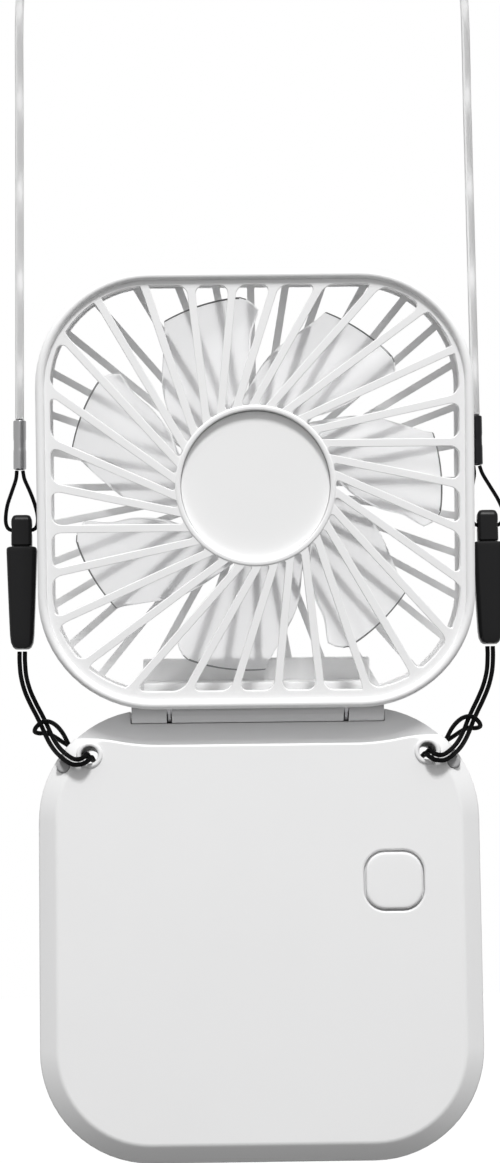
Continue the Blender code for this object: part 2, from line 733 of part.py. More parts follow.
def build_hub_cap():
    front = LIP_RISE - HUB_RING_RISE + CAP_RECESS
    radius = HUB_RING_RADIUS - HUB_RING_WALL - CAP_GAP
    turned("hub_cap", [
        (0, front), (radius - CAP_ROUND, front), (radius, front + CAP_ROUND),
        (radius, front + CAP_THICKNESS), (0, front + CAP_THICKNESS),
    ], IMPELLER_AXIS, DISC_WHITE)


def build_rear_shell():
    start = BEZEL_DEPTH + SEAM
    groove_end = BEZEL_DEPTH + TONGUE_LENGTH + SEAM
    inner = SHELL_SIDE_INSET + SHELL_WALL
    edge = SHELL_SIDE_INSET + SHELL_EDGE_INSET
    bm = bmesh.new()
    add_loft(bm, [
        head_ring(SHELL_STEP, start),
        head_ring(SHELL_SIDE_INSET, groove_end),
        head_ring(SHELL_SIDE_INSET, HEAD_DEPTH - SHELL_EDGE_ROUND),
        head_ring(SHELL_SIDE_INSET + SHELL_EDGE_INSET / 2, HEAD_DEPTH - SHELL_EDGE_ROUND / 4),
        head_ring(edge, HEAD_DEPTH),
        head_ring(inner, HEAD_DEPTH),
        head_ring(inner, groove_end),
        head_ring(REBATE_LIP, groove_end),
        head_ring(REBATE_LIP, start),
    ], closed=True)
    shell = finish(bm, "rear_shell", HEAD_FRAME, WHITE)

    back = HEAD_DEPTH - REAR_BAR_SINK
    inset = inner - EMBED
    bars = bmesh.new()
    for k in range(REAR_BAR_COUNT):
        angle = 2 * math.pi * k / REAR_BAR_COUNT + REAR_BAR_TURN
        end = bar_reach(0, angle, HEAD_WIDTH / 2 - inset, HEAD_HEIGHT / 2 - inset,
                        HEAD_CORNER - inset)
        add_bar(bars, 0, angle, REAR_HUB_RADIUS - EMBED, end, REAR_BAR_WIDTH,
                back - REAR_BAR_THICKNESS, back)
    bars = finish(bars, "rear_bars", HEAD_FRAME, None, tool=True)

    hub_back = HEAD_DEPTH - REAR_HUB_SINK
    hub = turned("rear_hub", [
        (0, hub_back - REAR_HUB_THICKNESS),
        (REAR_HUB_RADIUS, hub_back - REAR_HUB_THICKNESS),
        (REAR_HUB_RADIUS, hub_back - REAR_HUB_ROUND),
        (REAR_HUB_RADIUS - REAR_HUB_ROUND, hub_back),
        (0, hub_back),
    ], IMPELLER_AXIS, None, tool=True)

    floor = -HEAD_HEIGHT / 2 + SHELL_SIDE_INSET + EMBED
    block = bmesh.new()
    add_box(block, (-BLOCK_HALF_WIDTH, BLOCK_START, floor),
            (BLOCK_HALF_WIDTH, back - SEAM, floor + BLOCK_HEIGHT))
    block = finish(block, "hinge_block", HEAD_FRAME, None, tool=True)
    plate = bmesh.new()
    add_box(plate, (-BLOCK_HALF_WIDTH - SEAM, back - HINGE_PLATE_THICKNESS, floor + SEAM),
            (BLOCK_HALF_WIDTH + SEAM, back + REAR_BAR_SINK / 2, floor + HINGE_PLATE_HEIGHT))
    plate = finish(plate, "hinge_plate", HEAD_FRAME, None, tool=True)

    join(shell, bars)
    join(shell, hub)
    join(shell, block)
    join(shell, plate)
    relief = BARREL_RADIUS + BARREL_RELIEF
    cut(shell, fold_cylinder("barrel_relief", relief, knuckle_start() - SEAM / 2))
    for side, word in ((1, "right"), (-1, "left")):
        near = side * knuckle_start()
        far = side * (knuckle_start() + KNUCKLE_LENGTH)
        knuckle = fold_cylinder(
            f"knuckle_{word}", BARREL_RADIUS, max(near, far), min(near, far)
        )
        join(shell, knuckle)
        reach = side * (knuckle_start() + KNUCKLE_LENGTH - PIN_END_INSET + SEAM)
        bore = fold_cylinder(
            f"knuckle_bore_{word}", PIN_RADIUS + RUNNING_GAP,
            max(near - side * OVERRUN, reach), min(near - side * OVERRUN, reach),
        )
        cut(shell, bore)

    seat = bmesh.new()
    tube_radius = BEARING_RADIUS + RUNNING_GAP + TUBE_WALL + RUNNING_GAP
    add_cylinder(seat, tube_radius, (0, hub_back - REAR_HUB_THICKNESS - OVERRUN, HUB_RISE),
                 (0, hub_back - TUBE_WALL, HUB_RISE))
    cut(shell, finish(seat, "tube_seat", HEAD_FRAME, None, tool=True))
    cut_screw_holes(shell, "head_screw", head_screw_places(), back - SCREW_HEAD_HEIGHT,
                    BLOCK_START, HEAD_DEPTH, HEAD_FRAME)


def head_screw_places():
    z = -HEAD_HEIGHT / 2 + SHELL_SIDE_INSET + EMBED + BLOCK_HEIGHT / 2
    return [(-HEAD_SCREW_X, z), (HEAD_SCREW_X, z)]


def cut_screw_holes(target, name, places, seat, front, back, parent):
    """A counterbore behind each seat and a clearance hole from the seat to the front."""
    for word, radius, start, end in (
        ("counterbores", SCREW_HEAD_RADIUS + COUNTERBORE_GAP, seat - SEAM, back + OVERRUN),
        ("clearance_holes", SCREW_HOLE_RADIUS, front - OVERRUN, seat),
    ):
        bm = bmesh.new()
        for x, z in places:
            add_cylinder(bm, radius, (x, start, z), (x, end, z), TINY_STEPS)
        cut(target, finish(bm, f"{name}_{word}", parent, None, tool=True))


def build_head_screws():
    seat = HEAD_DEPTH - REAR_BAR_SINK - SCREW_HEAD_HEIGHT
    for word, (x, z) in zip(("left", "right"), head_screw_places()):
        build_screw(f"head_screw_{word}", (x, seat, z), BLOCK_START + OVERRUN, HEAD_FRAME)


def build_screw(name, seat, tip, parent):
    """A pan-head screw along Y: its head sits on the seat and its shank runs to the tip."""
    x, y, z = seat
    head = math.copysign(SCREW_HEAD_HEIGHT, y - tip)
    stations = [(SCREW_HEAD_RADIUS, y + head), (SCREW_HEAD_RADIUS, y), (SCREW_RADIUS, y),
                (SCREW_RADIUS, tip)]
    bm = bmesh.new()
    add_loft(bm, [ring_along_y(x, z, radius, depth, SCREW_STEPS) for radius, depth in stations])
    finish(bm, name, parent, STEEL)


def build_impeller():
    hub = turned("impeller", [
        (0, ROTOR_HUB_FRONT),
        (ROTOR_HUB_RADIUS - ROTOR_HUB_ROUND, ROTOR_HUB_FRONT),
        (ROTOR_HUB_RADIUS - ROTOR_HUB_ROUND / 4, ROTOR_HUB_FRONT + ROTOR_HUB_ROUND / 4),
        (ROTOR_HUB_RADIUS, ROTOR_HUB_FRONT + ROTOR_HUB_ROUND),
        (ROTOR_HUB_RADIUS, ROTOR_HUB_BACK),
        (ROTOR_HUB_RADIUS - ROTOR_HUB_WALL, ROTOR_HUB_BACK),
        (ROTOR_HUB_RADIUS - ROTOR_HUB_WALL, ROTOR_HUB_FRONT + ROTOR_HUB_WALL),
        (0, ROTOR_HUB_FRONT + ROTOR_HUB_WALL),
    ], IMPELLER_AXIS, BLADE)
    bm = bmesh.new()
    for k in range(BLADE_COUNT):
        turn = BLADE_TURN + 2 * math.pi * k / BLADE_COUNT
        rows = []
        for share, first, last in BLADE_ROW_SHARES:
            radius = BLADE_ROOT + share * (BLADE_RADIUS - BLADE_ROOT)
            front = BLADE_ROOT_FRONT + share * (BLADE_FRONT - BLADE_ROOT_FRONT)
            back = BLADE_ROOT_BACK + share * (BLADE_BACK - BLADE_ROOT_BACK)
            row = []
            for column in range(BLADE_COLUMNS):
                across = column / (BLADE_COLUMNS - 1)
                angle = turn + math.radians(first + across * (last - first))
                depth = front + (back - front) * across ** BLADE_CURL
                row.append(bm.verts.new((radius * math.cos(angle), depth, radius * math.sin(angle))))
            rows.append(row)
        for inner, outer in zip(rows, rows[1:]):
            for i in range(BLADE_COLUMNS - 1):
                bm.faces.new((inner[i], inner[i + 1], outer[i + 1], outer[i]))
    bmesh.ops.recalc_face_normals(bm, faces=bm.faces)
    mesh = bpy.data.meshes.new("blades")
    bm.to_mesh(mesh)
    bm.free()
    blades = add_object("blades", mesh, IMPELLER_AXIS, None, tool=True)
    wall = blades.modifiers.new("thickness", "SOLIDIFY")
    wall.thickness = BLADE_THICKNESS
    wall.offset = 0
    # The hub lies turned on its side, so the blades join it in world space
    join(hub, blades)


def build_rotor():
    can_radius = ROTOR_HUB_RADIUS - ROTOR_HUB_WALL - SEAM
    can_front = ROTOR_HUB_FRONT + ROTOR_HUB_WALL + SEAM
    bore = SHAFT_RADIUS + RUNNING_GAP
    turned("rotor_can", [
        (bore, can_front),
        (can_radius, can_front),
        (can_radius, CAN_BACK),
        (can_radius - CAN_WALL, CAN_BACK),
        (can_radius - CAN_WALL, can_front + CAN_WALL),
        (bore, can_front + CAN_WALL),
    ], IMPELLER_AXIS, STEEL, closed=True, steps=INNER_STEPS)
    magnet = can_radius - CAN_WALL - SEAM
    turned("rotor_magnet", [
        (magnet, MAGNET_FRONT), (magnet, MAGNET_BACK),
        (magnet - MAGNET_WALL, MAGNET_BACK), (magnet - MAGNET_WALL, MAGNET_FRONT),
    ], IMPELLER_AXIS, MAGNET, closed=True, steps=INNER_STEPS)
    bm = bmesh.new()
    add_cylinder(bm, SHAFT_RADIUS, (0, SHAFT_FRONT, 0), (0, SHAFT_BACK, 0))
    finish(bm, "motor_shaft", IMPELLER_AXIS, STEEL)


def core_radius():
    can_radius = ROTOR_HUB_RADIUS - ROTOR_HUB_WALL - SEAM
    return can_radius - CAN_WALL - SEAM - MAGNET_WALL - AIR_GAP


def build_stator():
    core = turned("stator_core", [
        (CORE_RING, CORE_FRONT), (CORE_RING, CORE_BACK),
        (CORE_BORE, CORE_BACK), (CORE_BORE, CORE_FRONT),
    ], IMPELLER_AXIS, DARK_STEEL, closed=True, steps=SMALL_STEPS)
    tip = core_radius()
    shoe = tip - CORE_SHOE
    teeth = bmesh.new()
    coils = bmesh.new()
    for k in range(CORE_TEETH):
        turn = Matrix.Rotation(2 * math.pi * k / CORE_TEETH, 4, "Y")
        first = len(teeth.verts)
        add_box(teeth, (CORE_RING - EMBED, CORE_FRONT + RUNNING_GAP, -CORE_TOOTH_WIDTH / 2),
                (tip - RUNNING_GAP, CORE_BACK - RUNNING_GAP, CORE_TOOTH_WIDTH / 2))
        teeth.verts.ensure_lookup_table()
        bmesh.ops.transform(teeth, matrix=turn, verts=teeth.verts[first:])
        first = len(coils.verts)
        add_coil(coils, CORE_RING + SEAM, shoe - SEAM)
        coils.verts.ensure_lookup_table()
        bmesh.ops.transform(coils, matrix=turn, verts=coils.verts[first:])
    join(core, finish(teeth, "core_teeth", IMPELLER_AXIS, None, tool=True))
    windings = finish(coils, "stator_windings", IMPELLER_AXIS, COPPER)
    # The wire that crosses from tooth to tooth joins the coils into one piece
    inner = CORE_RING + 2 * SEAM
    front = CORE_BACK + SEAM + RUNNING_GAP
    back = CORE_BACK + WINDING_OVERHANG + SEAM - RUNNING_GAP
    crossover = turned("crossover_wire", [
        (inner + WINDING_THICKNESS, front), (inner + WINDING_THICKNESS, back),
        (inner, back), (inner, front),
    ], IMPELLER_AXIS, None, tool=True, closed=True, steps=SMALL_STEPS)
    join(windings, crossover)


def add_coil(bm, start, end):
    """One winding: a square ring round a tooth."""
    hole = CORE_TOOTH_WIDTH / 2 + SEAM
    outer = hole + WINDING_THICKNESS / 2
    sections = []
    for x, grow in ((start, False), (start, True), (end, True), (end, False)):
        z = outer if grow else hole
        front = CORE_FRONT - SEAM - (WINDING_OVERHANG if grow else 0)
        back = CORE_BACK + SEAM + (WINDING_OVERHANG if grow else 0)
        sections.append([(x, front, -z), (x, front, z), (x, back, z), (x, back, -z)])
    add_loft(bm, sections, closed=True)


def build_bearings():
    bore = SHAFT_RADIUS + RUNNING_GAP
    outer = BEARING_RADIUS
    hub_front = HEAD_DEPTH - REAR_HUB_SINK - REAR_HUB_THICKNESS
    tube_back = HEAD_DEPTH - REAR_HUB_SINK - TUBE_WALL - SEAM
    second = hub_front - BEARING_LENGTH / 2
    tube_inner = outer + RUNNING_GAP
    turned("bearing_tube", [
        (tube_inner + TUBE_WALL, TUBE_FRONT), (tube_inner + TUBE_WALL, tube_back),
        (tube_inner, tube_back), (tube_inner, TUBE_FRONT),
    ], IMPELLER_AXIS, BRASS, closed=True, steps=SMALL_STEPS)
    for name, front in (("bearing_front", BEARING_FRONT), ("bearing_rear", second)):
        turned(name, [
            (outer, front), (outer, front + BEARING_LENGTH),
            (bore, front + BEARING_LENGTH), (bore, front),
        ], IMPELLER_AXIS, BRASS, closed=True, steps=SMALL_STEPS)
    tube_outer = tube_inner + TUBE_WALL + SEAM
    turned("motor_board", [
        (BOARD_RADIUS, MOTOR_BOARD_FRONT), (BOARD_RADIUS, MOTOR_BOARD_FRONT + BOARD_THICKNESS),
        (tube_outer, MOTOR_BOARD_FRONT + BOARD_THICKNESS), (tube_outer, MOTOR_BOARD_FRONT),
    ], IMPELLER_AXIS, BOARD, closed=True, steps=SMALL_STEPS)


def build_motor_lead():
    """The flat lead from the motor board, down in front of the lowest rear bar."""
    bar_front = HEAD_DEPTH - REAR_BAR_SINK - REAR_BAR_THICKNESS
    low = -HEAD_HEIGHT / 2 + SHELL_SIDE_INSET + EMBED + HINGE_PLATE_HEIGHT + SEAM
    bm = bmesh.new()
    add_box(bm, (-LEAD_WIDTH / 2, bar_front - SEAM - LEAD_THICKNESS, low),
            (LEAD_WIDTH / 2, bar_front - SEAM, HUB_RISE - REAR_HUB_RADIUS - SEAM))
    finish(bm, "motor_lead", HEAD_FRAME, WHITE)


# Fold hinge


def build_hinge():
    bm = bmesh.new()
    add_cylinder(bm, BARREL_RADIUS, (-BARREL_HALF_LENGTH, FOLD_INSET, 0),
                 (BARREL_HALF_LENGTH, FOLD_INSET, 0), INNER_STEPS)
    barrel = finish(bm, "hinge_barrel", BASE_FRAME, WHITE)
    leaf_front = FRONT_COVER_DEPTH + BARREL_RELIEF
    bm = bmesh.new()
    add_box(bm, (-LEAF_HALF_WIDTH, leaf_front, -LEAF_DROP),
            (LEAF_HALF_WIDTH, leaf_front + LEAF_THICKNESS, -LEAF_TOP_DROP))
    join(barrel, finish(bm, "hinge_leaf", BASE_FRAME, None, tool=True))
    bm = bmesh.new()
    add_cylinder(bm, PIN_RADIUS + RUNNING_GAP, (-BARREL_HALF_LENGTH - OVERRUN, FOLD_INSET, 0),
                 (BARREL_HALF_LENGTH + OVERRUN, FOLD_INSET, 0))
    for x in (-LEAF_SCREW_X, LEAF_SCREW_X):
        add_cylinder(bm, SCREW_HOLE_RADIUS, (x, leaf_front - OVERRUN, -LEAF_SCREW_DROP),
                     (x, leaf_front + LEAF_THICKNESS + OVERRUN, -LEAF_SCREW_DROP), TINY_STEPS)
    cut(barrel, finish(bm, "hinge_bores", BASE_FRAME, None, tool=True))

    # The pin is fast in the head's knuckles, so it turns with the head
    reach = knuckle_start() + KNUCKLE_LENGTH - PIN_END_INSET
    bm = bmesh.new()
    add_cylinder(bm, PIN_RADIUS, (-reach, 0, 0), (reach, 0, 0))
    finish(bm, "hinge_pin", FOLD_AXIS, STEEL)
    for side, word in ((1, "right"), (-1, "left")):
        inner = PIN_RADIUS + SEAM
        outer = BARREL_RADIUS - WASHER_INSET
        near = side * (BARREL_HALF_LENGTH + SEAM)
        far = side * (BARREL_HALF_LENGTH + SEAM + WASHER_THICKNESS)
        rings = []
        for x, radius in ((near, inner), (near, outer), (far, outer), (far, inner)):
            rings.append([
                (x, FOLD_INSET + radius * math.cos(2 * math.pi * i / SMALL_STEPS),
                 radius * math.sin(2 * math.pi * i / SMALL_STEPS))
                for i in range(SMALL_STEPS)
            ])
        bm = bmesh.new()
        add_loft(bm, rings, closed=True)
        finish(bm, f"friction_washer_{word}", BASE_FRAME, DARK_STEEL)
    for side, word in ((1, "right"), (-1, "left")):
        seat = (side * LEAF_SCREW_X, leaf_front - SEAM / 2, -LEAF_SCREW_DROP)
        build_screw(f"hinge_screw_{word}", seat, SCREW_END_DEPTH, BASE_FRAME)


# Base covers


def recess_outline():
    """The recess under the head, seen from the front: flat in the middle, higher at its wings."""
    points = []
    steps = 6
    for side in (-1, 1):
        run = []
        for step in range(steps + 1):
            share = step / steps
            ease = share * share * (3 - 2 * share)
            x = RECESS_FLAT_HALF + share * (RECESS_WING_HALF - RECESS_FLAT_HALF)
            z = -RECESS_DROP + ease * (RECESS_DROP - RECESS_WING_DROP)
            run.append((side * x, z))
        run.append((side * BASE_WIDTH / 2, -RECESS_WING_DROP))
        points += run[::-1] if side < 0 else run
    return points + [(BASE_WIDTH / 2, OVERRUN), (-BASE_WIDTH / 2, OVERRUN)]


def eye_places():
    return [(-EYE_X, -EYE_DROP), (EYE_X, -EYE_DROP)]


def case_screw_places():
    return [(side * CASE_SCREW_X, -drop) for side in (-1, 1)
            for drop in (CASE_SCREW_TOP_DROP, CASE_SCREW_BOTTOM_DROP)]


def board_screw_places():
    left = CONTROL_BOARD_LEFT + BOARD_SCREW_INSET
    right = CONTROL_BOARD_LEFT + CONTROL_BOARD_WIDTH - BOARD_SCREW_INSET
    top = -CONTROL_BOARD_DROP - BOARD_SCREW_INSET
    low = -CONTROL_BOARD_DROP - CONTROL_BOARD_HEIGHT + BOARD_SCREW_INSET
    return [(left, top), (right, low)]


def charge_screw_places():
    return [(-CHARGE_SCREW_X, -CHARGE_SCREW_DROP), (CHARGE_SCREW_X, -CHARGE_SCREW_DROP)]


def fold_relief(name):
    bm = bmesh.new()
    half = knuckle_start() + KNUCKLE_LENGTH + SEAM
    add_cylinder(bm, BARREL_RADIUS + BARREL_RELIEF, (-half, FOLD_INSET, 0),
                 (half, FOLD_INSET, 0), INNER_STEPS)
    return finish(bm, name, BASE_FRAME, None, tool=True)


def leaf_slot(name):
    leaf_front = FRONT_COVER_DEPTH + BARREL_RELIEF
    bm = bmesh.new()
    half = LEAF_HALF_WIDTH + SEAM
    add_box(bm, (-half, FRONT_COVER_DEPTH + RUNNING_GAP, -FOLD_CLEARANCE - BASE_WALL - OVERRUN),
            (half, leaf_front + LEAF_THICKNESS + SEAM, OVERRUN))
    return finish(bm, name, BASE_FRAME, None, tool=True)


def build_front_cover():
    tongue_end = FRONT_COVER_DEPTH + COVER_TONGUE
    inner_chamfer = CHAMFER_WIDTH + BASE_WALL / 2
    bm = bmesh.new()
    add_loft(bm, [
        base_ring(CHAMFER_WIDTH + CHAMFER_ROUND, 0),
        base_ring(CHAMFER_WIDTH, CHAMFER_ROUND / 4),
        base_ring(CHAMFER_ROUND / 2, CHAMFER_DEPTH),
        base_ring(0, CHAMFER_DEPTH + CHAMFER_ROUND),
        base_ring(0, FRONT_COVER_DEPTH),
        base_ring(COVER_TONGUE_STEP, FRONT_COVER_DEPTH),
        base_ring(COVER_TONGUE_STEP, tongue_end),
        base_ring(BASE_WALL, tongue_end),
        base_ring(BASE_WALL, CHAMFER_DEPTH + BASE_WALL / 2),
        base_ring(inner_chamfer, BASE_WALL),
    ])
    cover = finish(bm, "base_front_cover", BASE_FRAME, WHITE)

    # A solid top is added inside the shell, and the recess is then cut into it
    top = bmesh.new()
    add_loft(top, [base_ring(EMBED, EMBED + CHAMFER_DEPTH), base_ring(EMBED, FRONT_COVER_DEPTH - SEAM / 2)])
    slice_below(top, -RECESS_DROP - LEDGE_THICKNESS)
    join(cover, finish(top, "cover_top", BASE_FRAME, None, tool=True))
    ledge = bmesh.new()
    half = RECESS_WING_HALF
    add_box(ledge, (-half, BASE_WALL / 2, -RECESS_DROP - LEDGE_THICKNESS),
            (half, EMBED + CHAMFER_DEPTH + EMBED, -BASE_WALL))
    join(cover, finish(ledge, "cover_ledge", BASE_FRAME, None, tool=True))

    bosses = bmesh.new()
    for x, z in eye_places():
        add_cylinder(bosses, EYE_RADIUS + EYE_WALL, (x, -EYE_RISE, z), (x, FRONT_COVER_DEPTH, z))
    join(cover, finish(bosses, "front_eye_bosses", BASE_FRAME, None, tool=True))
    posts = bmesh.new()
    for x, z in case_screw_places():
        add_cylinder(posts, POST_RADIUS, (x, BASE_WALL / 2, z), (x, FRONT_COVER_DEPTH, z), TINY_STEPS)
    join(cover, finish(posts, "front_posts", BASE_FRAME, None, tool=True))

    recess = bmesh.new()
    outline = recess_outline()
    add_loft(recess, [[(x, -OVERRUN, z) for x, z in outline],
                      [(x, RECESS_BACK, z) for x, z in outline]])
    cut(cover, finish(recess, "recess", BASE_FRAME, None, tool=True))
    cut(cover, fold_relief("front_cover_relief"))
    cut(cover, leaf_slot("front_cover_leaf_slot"))

    holes = bmesh.new()
    for x, z in eye_places():
        add_cylinder(holes, EYE_RADIUS, (x, -EYE_RISE - OVERRUN, z),
                     (x, FRONT_COVER_DEPTH + OVERRUN, z))
    for side in (-1, 1):
        add_cylinder(holes, BUMPER_RADIUS + SEAM / 2, (side * BUMPER_X, -OVERRUN, -BUMPER_DROP),
                     (side * BUMPER_X, BUMPER_FRONT + BUMPER_DEPTH + SEAM, -BUMPER_DROP), TINY_STEPS)
    for x, z in case_screw_places():
        add_cylinder(holes, SCREW_HOLE_RADIUS, (x, CASE_SCREW_TIP - SEAM, z),
                     (x, FRONT_COVER_DEPTH + OVERRUN, z), TINY_STEPS)
    cut(cover, finish(holes, "front_cover_holes", BASE_FRAME, None, tool=True))

    window = bmesh.new()
    outline = button_outline(BUTTON_GAP)
    add_loft(window, [[(x, -OVERRUN, z) for x, z in outline],
                      [(x, BASE_WALL + OVERRUN, z) for x, z in outline]])
    cut(cover, finish(window, "button_window", BUTTON_AXIS, None, tool=True))
    cut(cover, port_opening("front_cover_port"))


def slice_below(bm, height):
    """Removes what lies below a height and closes the cut."""
    faces = bm.verts[:] + bm.edges[:] + bm.faces[:]
    bmesh.ops.bisect_plane(
        bm, geom=faces, plane_co=(0, 0, height), plane_no=(0, 0, -1), clear_outer=True
    )
    bmesh.ops.holes_fill(bm, edges=[edge for edge in bm.edges if edge.is_boundary])


def port_opening(name):
    """The opening in the base's lower edge for the charging socket."""
    low = -FOLD_CLEARANCE - BASE_HEIGHT
    back = CHARGE_BOARD_FRONT - SEAM
    front = back - SOCKET_THICKNESS
    middle = (front + back) / 2
    half_height = SOCKET_THICKNESS / 2 + SEAM
    outline = rounded_outline(SOCKET_WIDTH / 2 + SEAM, half_height,
                              half_height - RUNNING_GAP, half_height - RUNNING_GAP, 4)
    bm = bmesh.new()
    add_loft(bm, [[(x, middle + y, low - OVERRUN) for x, y in outline],
                  [(x, middle + y, low + BASE_WALL + OVERRUN) for x, y in outline]])
    return finish(bm, name, BASE_FRAME, None, tool=True)


def build_rear_cover():
    start = FRONT_COVER_DEPTH + SEAM
    groove = FRONT_COVER_DEPTH + COVER_TONGUE + SEAM
    bm = bmesh.new()
    add_loft(bm, [
        base_ring(BACK_ROUND_INSET, BASE_DEPTH),
        base_ring(BACK_ROUND_MID, BASE_DEPTH - BACK_ROUND_MID),
        base_ring(0, BACK_ROUND_START),
        base_ring(0, start),
        base_ring(COVER_REBATE_LIP, start),
        base_ring(COVER_REBATE_LIP, groove),
        base_ring(BASE_WALL, groove),
        base_ring(BASE_WALL, BACK_ROUND_START - SEAM),
        base_ring(BACK_ROUND_INSET + BASE_WALL / 2, BASE_DEPTH - BASE_WALL),
    ])
    cover = finish(bm, "base_rear_cover", BASE_FRAME, WHITE)

    floor = BASE_DEPTH - BASE_WALL / 2
    bosses = bmesh.new()
    for x, z in eye_places():
        add_cylinder(bosses, EYE_RADIUS + EYE_WALL, (x, groove, z), (x, floor, z))
    for x, z in case_screw_places():
        add_cylinder(bosses, POST_RADIUS, (x, start, z), (x, floor, z), TINY_STEPS)
    board_back = SWITCH_FRONT + SWITCH_THICKNESS + SEAM + BOARD_THICKNESS
    for x, z in board_screw_places():
        add_cylinder(bosses, POST_RADIUS, (x, board_back + SEAM, z), (x, floor, z), TINY_STEPS)
    for x, z in charge_screw_places():
        add_cylinder(bosses, POST_RADIUS,
                     (x, CHARGE_BOARD_FRONT + BOARD_THICKNESS + SEAM, z), (x, floor, z), TINY_STEPS)
    leaf_back = FRONT_COVER_DEPTH + BARREL_RELIEF + LEAF_THICKNESS
    for x in (-LEAF_SCREW_X, LEAF_SCREW_X):
        add_cylinder(bosses, POST_RADIUS, (x, leaf_back + SEAM, -LEAF_SCREW_DROP),
                     (x, floor, -LEAF_SCREW_DROP), TINY_STEPS)
    join(cover, finish(bosses, "rear_bosses", BASE_FRAME, None, tool=True))
    cut(cover, fold_relief("rear_cover_relief"))
    cut(cover, leaf_slot("rear_cover_leaf_slot"))

    holes = bmesh.new()
    for x, z in eye_places():
        add_cylinder(holes, EYE_RADIUS, (x, start - OVERRUN, z), (x, BASE_DEPTH + OVERRUN, z))
    cut(cover, finish(holes, "rear_eyes", BASE_FRAME, None, tool=True))
    cut_screw_holes(cover, "case_screw", case_screw_places(), CASE_SCREW_HEAD_DEPTH, start,
                    BASE_DEPTH, BASE_FRAME)
    cores = bmesh.new()
    for x, z in board_screw_places() + charge_screw_places():
        add_cylinder(cores, SCREW_HOLE_RADIUS, (x, start - OVERRUN, z),
                     (x, SCREW_END_DEPTH + SEAM, z), TINY_STEPS)
    for x in (-LEAF_SCREW_X, LEAF_SCREW_X):
        add_cylinder(cores, SCREW_HOLE_RADIUS, (x, leaf_back - OVERRUN, -LEAF_SCREW_DROP),
                     (x, SCREW_END_DEPTH + SEAM, -LEAF_SCREW_DROP), TINY_STEPS)
    cut(cover, finish(cores, "screw_cores", BASE_FRAME, None, tool=True))
    cut(cover, port_opening("rear_cover_port"))


def build_case_screws():
    words = ("upper_left", "lower_left", "upper_right", "lower_right")
    for word, (x, z) in zip(words, case_screw_places()):
        build_screw(f"case_screw_{word}", (x, CASE_SCREW_HEAD_DEPTH, z), CASE_SCREW_TIP, BASE_FRAME)


def build_bumpers():
    for side, word in ((1, "right"), (-1, "left")):
        x, z = side * BUMPER_X, -BUMPER_DROP
        back = BUMPER_FRONT + BUMPER_DEPTH
        stations = [(BUMPER_RADIUS - CHAMFER_ROUND, BUMPER_FRONT),
                    (BUMPER_RADIUS, BUMPER_FRONT + CHAMFER_ROUND), (BUMPER_RADIUS, back)]
        bm = bmesh.new()
        add_loft(bm, [ring_along_y(x, z, radius, depth, TINY_STEPS) for radius, depth in stations])
        finish(bm, f"bumper_{word}", BASE_FRAME, RUBBER)


# Power button and switch


def button_outline(grow):
    return rounded_outline(BUTTON_WIDTH / 2 + grow, BUTTON_HEIGHT / 2 + grow,
                           BUTTON_CORNER + grow, BUTTON_CORNER + grow, 5)


def build_button():
    flange_front = BASE_WALL + BUTTON_GAP
    flange_back = flange_front + BUTTON_FLANGE_THICKNESS
    sections = [
        (-BUTTON_EDGE * 2, -BUTTON_RISE), (-BUTTON_EDGE / 2, -BUTTON_RISE / 2),
        (0, BUTTON_RISE), (0, flange_front),
        (BUTTON_FLANGE, flange_front), (BUTTON_FLANGE, flange_back),
    ]
    bm = bmesh.new()
    add_loft(bm, [[(x, depth, z) for x, z in button_outline(grow)] for grow, depth in sections])
    button = finish(bm, "power_button", BUTTON_AXIS, WHITE)
    stem = bmesh.new()
    add_cylinder(stem, BUTTON_STEM_RADIUS, (0, flange_front + EMBED / 2, 0),
                 (0, flange_back + BUTTON_STEM, 0), TINY_STEPS)
    join(button, finish(stem, "button_stem", BUTTON_AXIS, None, tool=True))

    plunger_front = flange_back + BUTTON_STEM + SEAM
    bm = bmesh.new()
    add_cylinder(bm, PLUNGER_RADIUS, (0, plunger_front, 0),
                 (0, plunger_front + PLUNGER_LENGTH, 0), TINY_STEPS)
    finish(bm, "switch_plunger", BUTTON_AXIS, RUBBER)

    bm = bmesh.new()
    half = SWITCH_SIZE / 2
    add_box(bm, (-half, SWITCH_FRONT, -half), (half, SWITCH_FRONT + SWITCH_THICKNESS, half))
    switch = finish(bm, "tact_switch", BUTTON_AXIS, BLACK)
    bm = bmesh.new()
    add_cylinder(bm, PLUNGER_RADIUS + SEAM, (0, SWITCH_FRONT - OVERRUN, 0),
                 (0, SWITCH_FRONT + SWITCH_BORE_DEPTH, 0), TINY_STEPS)
    cut(switch, finish(bm, "switch_bore", BUTTON_AXIS, None, tool=True))


# Inside the base


def build_control_board():
    front = SWITCH_FRONT + SWITCH_THICKNESS + SEAM
    right = CONTROL_BOARD_LEFT + CONTROL_BOARD_WIDTH
    bm = bmesh.new()
    add_box(bm, (CONTROL_BOARD_LEFT, front, -CONTROL_BOARD_DROP - CONTROL_BOARD_HEIGHT),
            (right, front + BOARD_THICKNESS, -CONTROL_BOARD_DROP))
    board = finish(bm, "control_board", BASE_FRAME, BOARD)
    holes = bmesh.new()
    for x, z in board_screw_places():
        add_cylinder(holes, SCREW_HOLE_RADIUS, (x, front - OVERRUN, z),
                     (x, front + BOARD_THICKNESS + OVERRUN, z), TINY_STEPS)
    cut(board, finish(holes, "control_board_holes", BASE_FRAME, None, tool=True))


